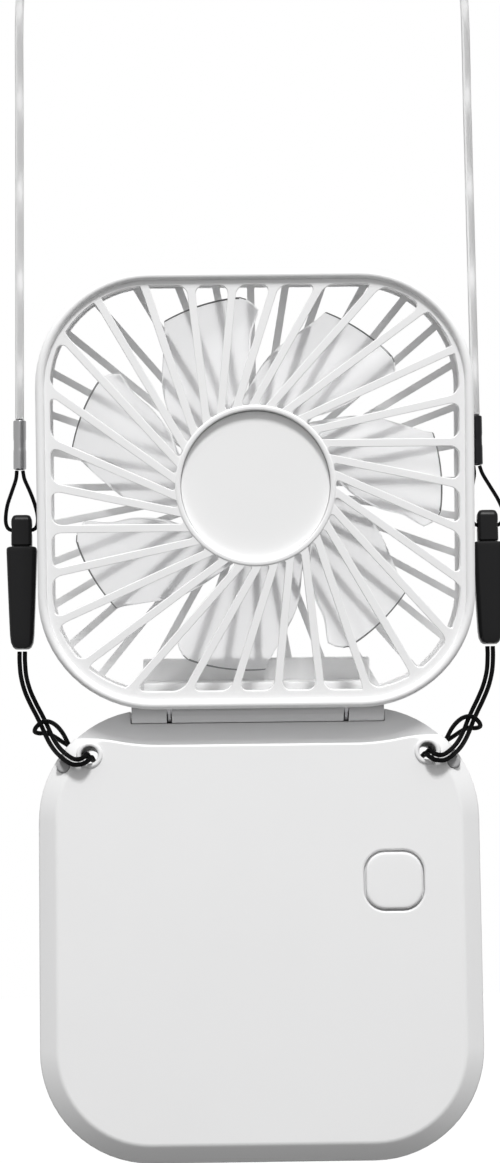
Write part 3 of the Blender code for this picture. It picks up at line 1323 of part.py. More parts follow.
def build_board_screws():
    front = SWITCH_FRONT + SWITCH_THICKNESS + SEAM
    for word, (x, z) in zip(("upper", "lower"), board_screw_places()):
        build_screw(f"control_screw_{word}", (x, front - SEAM, z), SCREW_END_DEPTH, BASE_FRAME)
    for word, (x, z) in zip(("left", "right"), charge_screw_places()):
        build_screw(f"charging_screw_{word}", (x, CHARGE_BOARD_FRONT - SEAM, z), SCREW_END_DEPTH,
                    BASE_FRAME)


def build_battery():
    right = BATTERY_LEFT + BATTERY_WIDTH
    low = -BATTERY_DROP - BATTERY_HEIGHT
    middle_x = (BATTERY_LEFT + right) / 2
    middle_y = BATTERY_FRONT + BATTERY_THICKNESS / 2
    outline = rounded_outline(BATTERY_WIDTH / 2, BATTERY_THICKNESS / 2, BATTERY_ROUND, BATTERY_ROUND, 3)
    bm = bmesh.new()
    add_loft(bm, [[(middle_x + x, middle_y + y, z) for x, y in outline]
                  for z in (low, -BATTERY_DROP)])
    finish(bm, "battery_cell", BASE_FRAME, CELL)
    bm = bmesh.new()
    back = BATTERY_FRONT + BATTERY_THICKNESS
    add_box(bm, (BATTERY_LEFT + PAD_MARGIN, back + SEAM, low + PAD_MARGIN),
            (right - PAD_MARGIN, BASE_DEPTH - BASE_WALL - SEAM, -BATTERY_DROP - PAD_MARGIN))
    finish(bm, "battery_pad", BASE_FRAME, FOAM)


def build_charging():
    bm = bmesh.new()
    low = -CHARGE_BOARD_DROP - CHARGE_BOARD_HEIGHT
    add_box(bm, (-CHARGE_BOARD_HALF, CHARGE_BOARD_FRONT, low),
            (CHARGE_BOARD_HALF, CHARGE_BOARD_FRONT + BOARD_THICKNESS, -CHARGE_BOARD_DROP))
    board = finish(bm, "charging_board", BASE_FRAME, BOARD)
    holes = bmesh.new()
    for x, z in charge_screw_places():
        add_cylinder(holes, SCREW_HOLE_RADIUS, (x, CHARGE_BOARD_FRONT - OVERRUN, z),
                     (x, CHARGE_BOARD_FRONT + BOARD_THICKNESS + OVERRUN, z), TINY_STEPS)
    cut(board, finish(holes, "charging_board_holes", BASE_FRAME, None, tool=True))

    mouth = -FOLD_CLEARANCE - BASE_HEIGHT + SOCKET_INSET
    back = CHARGE_BOARD_FRONT - SEAM
    middle = back - SOCKET_THICKNESS / 2
    half_height = SOCKET_THICKNESS / 2
    sections = [
        (0, mouth + SOCKET_LENGTH), (0, mouth), (SOCKET_WALL, mouth),
        (SOCKET_WALL, mouth + SOCKET_LENGTH - SOCKET_FLOOR),
    ]
    bm = bmesh.new()
    rings = []
    for inset, z in sections:
        outline = rounded_outline(
            SOCKET_WIDTH / 2 - inset, half_height - inset,
            half_height - inset - RUNNING_GAP, half_height - inset - RUNNING_GAP, 4,
        )
        rings.append([(x, middle + y, z) for x, y in outline])
    add_loft(bm, rings)
    finish(bm, "usb_socket", BASE_FRAME, STEEL)
    bm = bmesh.new()
    floor = mouth + SOCKET_LENGTH - SOCKET_FLOOR - SEAM
    add_box(bm, (-TONGUE_WIDTH / 2, middle - TONGUE_THICKNESS / 2, floor - TONGUE_REACH),
            (TONGUE_WIDTH / 2, middle + TONGUE_THICKNESS / 2, floor))
    finish(bm, "usb_tongue", BASE_FRAME, BLACK)


def build_leads():
    """Insulated wires. Each one leaves its board's edge, or the cell's, at a right angle."""
    board_middle = SWITCH_FRONT + SWITCH_THICKNESS + SEAM + BOARD_THICKNESS / 2
    board_edge = CONTROL_BOARD_LEFT - SEAM
    cell_edge = BATTERY_LEFT + BATTERY_WIDTH + SEAM
    cell_middle = BATTERY_FRONT + BATTERY_THICKNESS / 2
    middle_z = -BATTERY_DROP - BATTERY_HEIGHT / 2
    for side, word, material in ((1, "positive", WIRE_SLEEVE), (-1, "negative", BLACK)):
        z = middle_z + side * WIRE_SPACING
        route = [(cell_edge, cell_middle, z), (cell_edge + WIRE_STUB, cell_middle, z),
                 (board_edge - WIRE_STUB, board_middle, z), (board_edge, board_middle, z)]
        tube(f"battery_lead_{word}", route, WIRE_RADIUS, BASE_FRAME, material, WIRE_STUB)

    leaf_middle = FRONT_COVER_DEPTH + BARREL_RELIEF + LEAF_THICKNESS / 2
    leaf_edge = -LEAF_DROP - SEAM
    board_top = -CONTROL_BOARD_DROP + SEAM
    x = CONTROL_BOARD_LEFT + WIRE_SPACING
    route = [(LEAF_SCREW_X, leaf_middle, leaf_edge),
             (LEAF_SCREW_X, leaf_middle, leaf_edge - WIRE_STUB),
             (x, board_middle, board_top + WIRE_STUB), (x, board_middle, board_top)]
    tube("fan_lead", route, WIRE_RADIUS, BASE_FRAME, WIRE_SLEEVE, WIRE_STUB)

    board_low = -CONTROL_BOARD_DROP - CONTROL_BOARD_HEIGHT - SEAM
    charge_middle = CHARGE_BOARD_FRONT + BOARD_THICKNESS / 2
    charge_top = -CHARGE_BOARD_DROP + SEAM
    x = CONTROL_BOARD_LEFT + WIRE_SPACING
    end_x = CHARGE_BOARD_HALF - WIRE_SPACING
    route = [(x, board_middle, board_low), (x, board_middle, board_low - WIRE_STUB),
             (end_x, charge_middle, charge_top + WIRE_STUB), (end_x, charge_middle, charge_top)]
    tube("charging_lead", route, WIRE_RADIUS, BASE_FRAME, WIRE_SLEEVE, WIRE_STUB)


# Lanyard


def clip_ring(x, half_width, half_thickness, corner, z):
    outline = rounded_outline(half_width, half_thickness, corner, corner, CLIP_CORNER_STEPS)
    return [(x + px, STRAP_DEPTH + py, z) for px, py in outline]


def build_clip(side, word):
    x = side * CLIP_X
    top = CLIP_JOINT_HEIGHT + PLUG_HEIGHT
    bm = bmesh.new()
    add_loft(bm, [
        clip_ring(x, PLUG_SHOULDER_HALF, PLUG_HALF_THICKNESS - SLEEVE_TOP_ROUND, PLUG_ROUND, top),
        clip_ring(x, PLUG_HALF_WIDTH, PLUG_HALF_THICKNESS, PLUG_ROUND, top - PLUG_SHOULDER),
        clip_ring(x, PLUG_HALF_WIDTH, PLUG_HALF_THICKNESS, PLUG_ROUND, CLIP_JOINT_HEIGHT + SEAM),
        clip_ring(x, PRONG_HALF_WIDTH, PRONG_HALF_THICKNESS, PLUG_ROUND / 2, CLIP_JOINT_HEIGHT + SEAM),
        clip_ring(x, PRONG_HALF_WIDTH, PRONG_HALF_THICKNESS, PLUG_ROUND / 2,
                  CLIP_JOINT_HEIGHT - PRONG_LENGTH),
    ])
    plug = finish(bm, f"clip_plug_{word}", BASE_FRAME, BLACK)
    eye = bmesh.new()
    height = top - PLUG_EYE_DROP
    add_cylinder(eye, PLUG_EYE_RADIUS, (x - PLUG_HALF_WIDTH - OVERRUN, STRAP_DEPTH, height),
                 (x + PLUG_HALF_WIDTH + OVERRUN, STRAP_DEPTH, height), TINY_STEPS)
    cut(plug, finish(eye, f"plug_eye_{word}", BASE_FRAME, None, tool=True))

    low = CLIP_JOINT_HEIGHT - SLEEVE_LENGTH
    bm = bmesh.new()
    pocket = PRONG_LENGTH + SEAM
    gap = SEAM
    add_loft(bm, [
        clip_ring(x, PRONG_HALF_WIDTH + gap, PRONG_HALF_THICKNESS + gap, PLUG_ROUND / 2 + gap,
                  CLIP_JOINT_HEIGHT - pocket),
        clip_ring(x, PRONG_HALF_WIDTH + gap, PRONG_HALF_THICKNESS + gap, PLUG_ROUND / 2 + gap,
                  CLIP_JOINT_HEIGHT),
        clip_ring(x, SOCKET_TOP_HALF_WIDTH - SLEEVE_TOP_ROUND, SOCKET_HALF_THICKNESS - SLEEVE_TOP_ROUND / 2,
                  SLEEVE_CORNER, CLIP_JOINT_HEIGHT),
        clip_ring(x, SOCKET_TOP_HALF_WIDTH, SOCKET_HALF_THICKNESS, SLEEVE_CORNER,
                  CLIP_JOINT_HEIGHT - SLEEVE_TOP_ROUND),
        clip_ring(x, SOCKET_LOW_HALF_WIDTH, SOCKET_HALF_THICKNESS, SLEEVE_CORNER, low + SLEEVE_END_TAPER),
        clip_ring(x, SOCKET_END_HALF_WIDTH, SOCKET_END_HALF_THICKNESS, SLEEVE_CORNER, low),
    ])
    finish(bm, f"clip_socket_{word}", BASE_FRAME, BLACK)


FERRULE_SHIFTS = {-1: FERRULE_LEFT_SHIFT, 1: FERRULE_RIGHT_SHIFT}


def build_ferrule(side, word, material):
    """A crimped tube: plain ends and a pressed band in its middle."""
    x = side * (CLIP_X + FERRULE_SHIFTS[side])
    high = FERRULE_LOW + FERRULE_LENGTH
    middle = (FERRULE_LOW + high) / 2
    stations = [
        (FERRULE_LOW, FERRULE_RADIUS - FERRULE_ROUND), (FERRULE_LOW + FERRULE_ROUND, FERRULE_RADIUS),
        (middle - CRIMP_WIDTH / 2 - CRIMP_DEPTH, FERRULE_RADIUS),
        (middle - CRIMP_WIDTH / 2, FERRULE_RADIUS - CRIMP_DEPTH),
        (middle + CRIMP_WIDTH / 2, FERRULE_RADIUS - CRIMP_DEPTH),
        (middle + CRIMP_WIDTH / 2 + CRIMP_DEPTH, FERRULE_RADIUS),
        (high - FERRULE_ROUND, FERRULE_RADIUS), (high, FERRULE_RADIUS - FERRULE_ROUND),
    ]
    rings = []
    for z, radius in stations:
        rings.append([
            (x + radius * math.cos(2 * math.pi * i / SMALL_STEPS),
             STRAP_DEPTH + radius * math.sin(2 * math.pi * i / SMALL_STEPS), z)
            for i in range(SMALL_STEPS)
        ])
    bm = bmesh.new()
    add_loft(bm, rings)
    finish(bm, f"ferrule_{word}", BASE_FRAME, material)


def hitch_route(side):
    """The whole cord: one strand down, the bight behind, and the other strand back up."""
    down, up = [], []
    for centre, parting in HITCH_SPINE:
        centre = Vector(centre) * MM
        parting = Vector(parting).normalized() * HITCH_STRAND_OFFSET
        down.append(centre + parting)
        up.append(centre - parting)
    bight = [Vector(point) * MM for point in HITCH_BIGHT]
    route = down + bight + up[::-1]
    shift = BODY_WIDTH / 2 - ROUTE_HALF_WIDTH
    return [(side * (point.x + shift), point.y, point.z) for point in route]


def neck_route():
    """Up from the left ferrule, over the arch and down to the right one."""
    low = FERRULE_LOW + FERRULE_LENGTH + SEAM
    low_left, low_right = -CLIP_X - FERRULE_LEFT_SHIFT, CLIP_X + FERRULE_RIGHT_SHIFT
    left, right = -CLIP_X - NECK_TOP_LEFT_SHIFT, CLIP_X + NECK_TOP_RIGHT_SHIFT
    points = [(low_left, STRAP_DEPTH, low)]
    for share in (0.25, 0.5, 0.75, 1.0):
        points.append((low_left + share * (left - low_left), STRAP_DEPTH,
                       low + share * (CORD_TOP_HEIGHT - low)))
    for step in range(1, 2 * ARCH_STEPS):
        angle = math.pi - math.pi * step / (2 * ARCH_STEPS)
        half_width = -left if step < ARCH_STEPS else right
        points.append((half_width * math.cos(angle), STRAP_DEPTH,
                       CORD_TOP_HEIGHT + ARCH_HEIGHT * math.sin(angle)))
    for share in (1.0, 0.75, 0.5, 0.25, 0.0):
        points.append((low_right + share * (right - low_right), STRAP_DEPTH,
                       low + share * (CORD_TOP_HEIGHT - low)))
    return points


def build_lanyard():
    tube("neck_cord", neck_route(), NECK_CORD_RADIUS, BASE_FRAME, WHITE_CORD, NECK_POINT_SPACING)
    for side, word, metal in ((-1, "left", STEEL), (1, "right", BLACK)):
        build_ferrule(side, word, metal)
        tube(f"string_loop_{word}", string_route(side, FERRULE_SHIFTS[side]), STRING_RADIUS,
             BASE_FRAME, BLACK_STRING, CORD_POINT_SPACING)
        build_clip(side, word)
        tube(f"hitch_cord_{word}", hitch_route(side), HITCH_RADIUS, BASE_FRAME, BLACK_STRING,
             CORD_POINT_SPACING)


build_front_grille()
build_hub_cap()
build_rear_shell()
build_head_screws()
build_impeller()
build_rotor()
build_stator()
build_bearings()
build_motor_lead()
build_hinge()
build_front_cover()
build_rear_cover()
build_case_screws()
build_bumpers()
build_button()
build_control_board()
build_board_screws()
build_battery()
build_charging()
build_leads()
build_lanyard()
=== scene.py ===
"""Folding neck fan on a lanyard: its finished surfaces, laid out as an add-on."""

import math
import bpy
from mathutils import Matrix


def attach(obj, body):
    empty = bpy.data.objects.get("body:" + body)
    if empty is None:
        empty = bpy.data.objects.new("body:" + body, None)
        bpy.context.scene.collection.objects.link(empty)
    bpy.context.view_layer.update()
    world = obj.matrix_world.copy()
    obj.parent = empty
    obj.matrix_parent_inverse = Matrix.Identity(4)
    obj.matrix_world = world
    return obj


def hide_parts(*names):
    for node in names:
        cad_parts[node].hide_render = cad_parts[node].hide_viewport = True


bl_info = {
    "name": "Folding neck fan",
    "version": (1, 0, 0),
    "blender": (4, 5, 0),
    "location": "3D View > Sidebar > Neck fan",
    "description": "Dresses a folding neck fan with finished mouldings, cords and clips",
    "category": "Object",
}

import bmesh
import bpy
from bpy.props import FloatProperty, FloatVectorProperty, IntProperty, PointerProperty
from bpy.types import Operator, Panel, PropertyGroup
from mathutils import Matrix, Vector

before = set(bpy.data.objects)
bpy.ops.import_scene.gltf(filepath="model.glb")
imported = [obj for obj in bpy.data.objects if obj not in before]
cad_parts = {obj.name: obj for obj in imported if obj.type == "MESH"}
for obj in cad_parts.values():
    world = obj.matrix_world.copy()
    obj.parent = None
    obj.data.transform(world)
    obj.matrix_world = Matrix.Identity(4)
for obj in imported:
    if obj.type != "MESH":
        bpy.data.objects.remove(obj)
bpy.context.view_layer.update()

MM = 0.001
QUARTER = math.radians(90)
UPRIGHT = Matrix.Rotation(QUARTER, 4, "X")
ALONG_X = Matrix.Rotation(QUARTER, 4, "Y")
OVERRUN = 1.0 * MM
ORIGIN = [(0, 0)]

# Frames of the object: the base hangs plumb, the head leans on the fold axis
LEAN = math.radians(10)
FOLD_DROP = 210.0 * MM
STRAP_DEPTH = 11.7 * MM
FOLD_INSET = 6.8 * MM
FOLD_CLEARANCE = 0.25 * MM
HEAD_HALF = 49.6 * MM
BASE_HALF = 50.0 * MM
BASE_HEIGHT = 102.2 * MM
HUB_RISE = 1.0 * MM
BASE_PLACE = Matrix.Translation((0, -STRAP_DEPTH, -FOLD_DROP))
FOLD_PLACE = BASE_PLACE @ Matrix.Translation((0, FOLD_INSET, 0)) @ Matrix.Rotation(LEAN, 4, "X")
HEAD_PLACE = FOLD_PLACE @ Matrix.Translation((0, -FOLD_INSET, FOLD_CLEARANCE + HEAD_HALF))
AXIS_PLACE = HEAD_PLACE @ Matrix.Translation((0, 0, HUB_RISE))
BUTTON_SPOT = Matrix.Translation((30.2 * MM, 0, -40.1 * MM))

# Outlines: half width, half height, radius of the top corners, of the lower ones, middle height
HEAD_SHAPE = (HEAD_HALF, HEAD_HALF, 26.0 * MM, 26.0 * MM, 0.0)
BASE_SHAPE = (
    BASE_HALF, BASE_HEIGHT / 2, 25.5 * MM, 25.0 * MM, -FOLD_CLEARANCE - BASE_HEIGHT / 2,
)

# Sizes and places that several pieces share
HEAD_DEPTH = 20.0 * MM
FOLD_BELOW_HEAD = -HEAD_HALF - FOLD_CLEARANCE
FOLD_RELIEF_LENGTH = 58.2 * MM
HEAD_RELIEF_RADIUS = 3.8 * MM
COVER_RELIEF_RADIUS = 3.55 * MM
KNUCKLE_RADIUS = 3.4 * MM
EYES = [(-38.3 * MM, -11.0 * MM), (38.3 * MM, -11.0 * MM)]
EYE_RADIUS = 1.9 * MM
EYE_FLARE = 0.5 * MM
COLLAR_RADIUS = 3.0 * MM
RECESS_DEPTH = 7.1 * MM
BUMPERS = {"left": (-44.3 * MM, -13.4 * MM), "right": (44.3 * MM, -13.4 * MM)}
CASE_SCREWS = [(side * 38.0 * MM, -drop) for side in (-1, 1) for drop in (19.5 * MM, 89.65 * MM)]
SCREW_HOLE = 1.1 * MM
SCREW_HEAD_HOLE = 1.9 * MM
BUTTON_CORNER = 4.3 * MM
CLIP_X = 54.1 * MM
CLIP_JOINT = 38.2 * MM
FERRULE_X = {"left": -54.5 * MM, "right": 51.9 * MM}
FERRULE_LOW = 56.5 * MM
FERRULE_HIGH = 68.0 * MM
SIDES = (("left", -1), ("right", 1))

# Routes of the free cords, in millimetres, in the base's frame, for the right side
STRING_LEAN_START = 45.6
STRING_LEAN_END = 56.2
STRING_ROUTE = [
    (0.7, 11.7, 56.2), (1.0, 11.7, 54.2), (2.1, 11.7, 51.2), (3.2, 11.7, 48.2),
    (3.7, 11.7, 45.6), (3.65, 11.7, 43.8), (3.1, 11.7, 42.6), (1.9, 11.7, 42.15),
    (0, 11.7, 42.1), (-1.9, 11.7, 42.15), (-3.1, 11.7, 42.6), (-3.65, 11.7, 43.8),
    (-3.65, 11.7, 45.6), (-3.1, 11.7, 48.4), (-2.1, 11.7, 51.4), (-1.0, 11.7, 54.2),
    (-0.7, 11.7, 56.2),
]
HITCH_OFFSET = 0.62
# Middle of the two strands, and the way that they part
HITCH_SPINE = [
    ((54.1, 11.7, 13.9), (1, 0, 0)), ((54.1, 11.7, 11.6), (1, 0, 0)),
    ((53.8, 11.5, 8.2), (1, 0, 0)), ((52.9, 11.1, 4.8), (0.98, 0, -0.2)),
    ((51.5, 10.4, 1.6), (0.96, 0, -0.28)), ((50.0, 9.5, -1.3), (0.95, 0, -0.3)),
    ((48.8, 8.5, -3.8), (0.95, 0, -0.3)), ((47.8, 6.8, -6.0), (0.92, 0, -0.38)),
    ((46.7, 4.6, -8.0), (0.88, 0, -0.47)), ((45.3, 1.7, -9.9), (0.8, 0, -0.6)),
    ((43.5, -0.8, -11.6), (0.6, 0, -0.8)), ((41.8, -1.9, -12.6), (0.2, 0, -0.98)),
    ((40.1, -2.4, -12.6), (-0.35, 0, -0.94)), ((38.9, -1.9, -11.9), (-0.8, 0, -0.6)),
    ((38.4, -0.3, -11.2), (-0.8, 0, -0.6)), ((38.3, 2.6, -11.0), (-0.8, 0, -0.6)),
    ((38.3, 7.5, -11.0), (-0.8, 0, -0.6)), ((38.3, 12.4, -11.0), (-0.8, 0, -0.6)),
    ((38.4, 15.2, -10.9), (-0.78, 0.18, -0.6)), ((39.4, 17.1, -10.3), (-0.5, 0.75, -0.4)),
    ((41.3, 17.5, -9.2), (0, 1, 0)), ((43.3, 16.6, -7.9), (0, 1, 0)),
]
HITCH_BIGHT = [
    (45.3, 15.3, -6.7), (47.1, 12.9, -5.6), (48.6, 10.9, -5.0), (50.0, 9.8, -5.2),
    (51.1, 8.5, -4.9), (50.7, 7.0, -4.0), (49.4, 6.7, -2.9), (47.8, 7.6, -2.7),
    (46.3, 9.9, -3.4), (44.9, 12.9, -5.0),
]


# Settings that a user would change


def metres(name, description, default):
    return FloatProperty(name=name, description=description, default=default, unit="LENGTH")


def degrees(name, description, default):
    return FloatProperty(
        name=name, description=description, default=math.radians(default), unit="ROTATION",
    )


def number(name, description, default):
    return IntProperty(name=name, description=description, default=default)


def tone(name, description, *default):
    return FloatVectorProperty(
        name=name, description=description, default=default, subtype="COLOR", size=3, min=0, max=1,
    )


class NeckFanHead(PropertyGroup):
    """Sizes of the fan head's mouldings."""

    lip_width: metres("Lip width", "Width of the raised lip round the grille", 2.1 * MM)
    lip_rise: metres("Lip rise", "Height of the lip above the grille's face", 1.2 * MM)
    rim_width: metres("Rim width", "From the head's outline to the ends of the slots", 3.3 * MM)
    bar_count: number("Front bars", "Number of slanted bars in the front grille", 30)
    bar_width: metres("Front bar width", "Width of a slanted bar", 1.8 * MM)
    bar_offset: metres("Bar offset", "How far each bar's line passes the hub's middle", 9.4 * MM)
    slot_round: metres("Slot corner", "Radius where a slot meets the rim", 2.1 * MM)
    sill: metres("Sill", "Extra width of the rim below the slots", 0.7 * MM)
    hub_radius: metres("Hub ring radius", "Outer radius of the grille's hub ring", 18.3 * MM)
    rear_bar_count: number("Rear bars", "Number of radial bars in the rear shell", 36)
    rear_bar_width: metres("Rear bar width", "Width of a radial bar", 1.65 * MM)
    blade_count: number("Blades", "Number of fan blades", 7)
    blade_thickness: metres("Blade thickness", "Thickness of a fan blade", 1.0 * MM)


class NeckFanBase(PropertyGroup):
    """Sizes of the battery base's mouldings."""

    chamfer_width: metres("Chamfer width", "Width of the front face's sloping edge", 3.8 * MM)
    chamfer_depth: metres("Chamfer depth", "Depth of the front face's sloping edge", 3.2 * MM)
    wall: metres("Wall", "Thickness of both covers", 1.8 * MM)
    seam_depth: metres("Seam depth", "Where the covers meet, from the front face", 8.6 * MM)
    depth: metres("Depth", "Front face to back", 15.0 * MM)
    recess_drop: metres("Recess drop", "From the fold axis to the recess's lower edge", 8.85 * MM)
    button_size: metres("Button size", "Width and height of the power button", 12.7 * MM)
    button_gap: metres("Button gap", "Gap round the power button", 0.42 * MM)


class NeckFanLanyard(PropertyGroup):
    """Sizes of the lanyard's cords."""

    neck_cord: metres("Neck cord", "Diameter of the white neck cord", 2.0 * MM)
    string: metres("String", "Diameter of the string loops", 0.9 * MM)
    doubled_cord: metres("Doubled cord", "Diameter of the cords through the eyes", 1.05 * MM)
    neck_length: metres("Neck cord length", "Length between the ferrules", 349.4 * MM)
    hitch_length: metres("Doubled cord length", "Length of each cord through an eye", 154.3 * MM)
    loop_length: metres("String loop length", "Length of each loop under a ferrule", 35.0 * MM)


class NeckFanColours(PropertyGroup):
    """Colours of the visible materials."""

    head: tone("Head", "White plastic of the fan head", 0.92, 0.92, 0.922)
    # Painted shade: the base's white is set darker than the head's, though both are one plastic,
    # for the lesser light on the base
    base: tone("Base", "White plastic of the battery base", 0.82, 0.82, 0.822)
    # Painted shade: the recess and hinge grey stands for the shade under the head on white plastic
    recess: tone("Recess", "Grey plastic of hinge and recess", 0.56, 0.56, 0.565)
    disc: tone("Hub cap", "Plastic of the hub cap", 0.94, 0.94, 0.94)
    blade: tone("Blades", "Frosted plastic of the impeller", 0.94, 0.94, 0.945)
    cord: tone("Neck cord", "Woven neck cord", 0.94, 0.94, 0.94)
    string: tone("Strings", "Black strings and cords", 0.004, 0.004, 0.0045)
    clip: tone("Clips", "Black plastic of the clips", 0.007, 0.007, 0.0075)
    rubber: tone("Bumpers", "Grey rubber of the bumpers", 0.38, 0.38, 0.385)


class NeckFanStage(PropertyGroup):
    """Camera and light."""

    distance: metres("Camera distance", "From the camera to the fan's middle", 700.0 * MM)
    azimuth: degrees("Camera azimuth", "Turn of the view round the fan", -0.822)
    elevation: degrees("Camera elevation", "Height angle of the view", -7.152)
    roll: degrees("Camera roll", "Roll of the view", -0.751)
    lens: FloatProperty(
        name="Lens", description="Focal length on a 36 mm high frame", default=95.02,
        unit="CAMERA",
    )
    ambient: FloatProperty(
        name="Ambient light", description="Level of the even light from all sides", default=0.72,
    )
    key: FloatProperty(
        name="Key light", description="Power of the soft light above the front", default=18.9,
        unit="POWER",
    )


# Materials


def new_material(name, colour, roughness, metallic=0.0):
    material = bpy.data.materials.new(name)
    material.use_nodes = True
    material.diffuse_color = (*colour, 1.0)
    tree = material.node_tree
    shader = tree.nodes["Principled BSDF"]
    connect(tree, shader, {
        "Base Color": (*colour, 1.0), "Roughness": roughness, "Metallic": metallic,
    })
    return material, tree, shader


def connect(tree, target, inputs):
    """Gives a node its inputs by name or number: outputs of other nodes, or plain values."""
    for key, value in inputs.items():
        if isinstance(value, bpy.types.NodeSocket):
            tree.links.new(value, target.inputs[key])
        else:
            target.inputs[key].default_value = value


def node(tree, kind, output, inputs=None, **settings):
    """Adds a node with its settings and inputs, and returns one of its outputs."""
    made = tree.nodes.new("ShaderNode" + kind)
    for key, value in settings.items():
        setattr(made, key, value)
    connect(tree, made, inputs or {})
    return made.outputs[output]


def object_coords(tree, **mapping):
    """Object coordinates, stretched or turned by a Mapping node if that is wanted."""
    coords = node(tree, "TexCoord", "Object")
    if mapping:
        coords = node(tree, "Mapping", "Vector", {"Vector": coords, **mapping})
    return coords


def noise(tree, coords, scale, detail):
    return node(tree, "TexNoise", "Fac", {"Vector": coords, "Scale": scale, "Detail": detail})


def span(tree, pattern, low, high):
    """Maps a pattern's 0 to 1 onto low to high."""
    return node(tree, "MapRange", "Result", {"Value": pattern, "To Min": low, "To Max": high})


def blend(tree, pattern, first, second):
    colours = {"Factor": pattern, "A": (*first, 1.0), "B": (*second, 1.0)}
    return node(tree, "Mix", "Result", colours, data_type="RGBA")


def bump(tree, height, distance, strength):
    inputs = {"Height": height, "Distance": distance, "Strength": strength}
    return node(tree, "Bump", "Normal", inputs)


def arithmetic(tree, operation, first, second=0.0):
    return node(tree, "Math", "Value", {0: first, 1: second}, operation=operation)


def tinted(colour, share):
    return tuple(max(0.0, min(1.0, part * share)) for part in colour)


def moulded_plastic(name, colour, roughness, grain=0.35, drift=0.985, depth=0.004, **inputs):
    """Injection moulded plastic: faint drift of tone, a fine texture and uneven gloss."""
    material, tree, shader = new_material(name, colour, roughness)
    coords = object_coords(tree)
    cloud = noise(tree, coords, scale=45.0, detail=3.0)
    fine = noise(tree, coords, scale=1.0 / (grain * MM), detail=2.0)
    connect(tree, shader, {
        "Base Color": blend(tree, cloud, tinted(colour, drift), tinted(colour, 2 - drift)),
        "Roughness": span(tree, cloud, roughness - 0.04, roughness + 0.05),
        "Normal": bump(tree, fine, depth * MM, strength=0.6),
    })
    connect(tree, shader, {key.replace("_", " "): value for key, value in inputs.items()})
    return material


def braided(name, colour, length, strands, pitch, depth, roughness, shade, gloss):
    """A braided cord on its own UV map: crossing strands, with painted shade in the gaps between
    them and a faint painted highlight on their crests.
    """
    material, tree, shader = new_material(name, colour, roughness)
    parts = tree.nodes.new("ShaderNodeSeparateXYZ")
    connect(tree, parts, {"Vector": node(tree, "TexCoord", "UV")})
    around = arithmetic(tree, "MULTIPLY", parts.outputs["X"], math.pi * strands)
    along = arithmetic(tree, "MULTIPLY", parts.outputs["Y"], math.pi * length / pitch)
    waves = []
    for operation in ("ADD", "SUBTRACT"):
        sine = arithmetic(tree, "SINE", arithmetic(tree, operation, around, along))
        waves.append(arithmetic(tree, "ABSOLUTE", sine))
    height = arithmetic(tree, "POWER", arithmetic(tree, "MULTIPLY", *waves), 0.6)
    # Painted shade in the gaps and a faint painted highlight on the crests, both from the weave's
    # height
    connect(tree, shader, {
        "Base Color": blend(tree, height, tinted(colour, shade), tinted(colour, 1.04)),
        "Normal": bump(tree, height, depth, strength=1.0), "Specular IOR Level": gloss,
    })
    return material


def metal(name, colour, roughness, stretch=(1, 1, 1), scale=900.0):
    """Metal with fine marks drawn out along one direction."""
    material, tree, shader = new_material(name, colour, roughness, 1.0)
    marks = noise(tree, object_coords(tree, Scale=stretch), scale, detail=3.0)
    connect(tree, shader, {
        "Roughness": span(tree, marks, roughness - 0.08, roughness + 0.1),
        "Base Color": blend(tree, marks, tinted(colour, 0.93), tinted(colour, 1.05)),
        "Normal": bump(tree, marks, 0.003 * MM, strength=0.5),
    })
    return material


def circuit_board():
    """Green solder mask over fine copper tracks."""
    mask = (0.03, 0.16, 0.07)
    material, tree, shader = new_material("circuit_board_mask", mask, 0.35)
    tracks = tree.nodes.new("ShaderNodeTexBrick")
    connect(tree, tracks, {
        "Vector": object_coords(tree, Rotation=(QUARTER, 0, 0)), "Scale": 220.0,
        "Mortar Size": 0.05, "Mortar": (0.08, 0.3, 0.12, 1.0), "Color1": (*mask, 1.0),
        "Color2": (*tinted(mask, 1.2), 1.0),
    })
    connect(tree, shader, {
        "Base Color": tracks.outputs["Color"],
        "Normal": bump(tree, tracks.outputs["Fac"], 0.02 * MM, strength=0.5),
    })
    return material


def wound_wire(name, colour):
    """Turns of enamelled wire, side by side, with painted shade in the grooves between the turns.
    """
    material, tree, shader = new_material(name, colour, 0.3, 1.0)
    inputs = {"Vector": object_coords(tree), "Scale": 900.0, "Distortion": 0.4}
    turns = node(tree, "TexWave", "Fac", inputs)
    # Painted shade: the grooves between turns fall to 0.45 of the wire's tone
    connect(tree, shader, {
        "Base Color": blend(tree, turns, tinted(colour, 0.45), colour),
        "Normal": bump(tree, turns, 0.08 * MM, strength=1.0),
    })
    return material


# Modelling helpers


def round_corners(bm, verts, radius, segments):
    return bmesh.ops.bevel(
        bm, geom=verts, offset=radius, offset_type="OFFSET", affect="VERTICES",
        segments=segments, profile=0.5, material=-1,
    )


def rounded_face(bm, place, half_x, half_y, top, low, segments=16):
    """A rectangle whose upper and lower corners have radii of their own, put in its place."""
    before = set(bm.faces)
    size = Matrix.Diagonal((half_x, half_y, 1, 1))
    made = bmesh.ops.create_grid(bm, x_segments=1, y_segments=1, size=1, matrix=size)
    upper = [v for v in made["verts"] if v.co.y > 0]
    lower = [v for v in made["verts"] if v.co.y < 0]
    round_corners(bm, upper, top, segments)
    round_corners(bm, lower, low, segments)
    face = next(f for f in bm.faces if f not in before)
    bmesh.ops.transform(bm, matrix=place, verts=face.verts[:])
    return face


def outline(bm, shape, inset, depth):
    """An outline's face, moved in by inset, upright at a depth."""
    half_x, half_z, top, low, middle = shape
    place = Matrix.Translation((0, depth, middle)) @ UPRIGHT
    return rounded_face(bm, place, half_x - inset, half_z - inset, top - inset, low - inset)


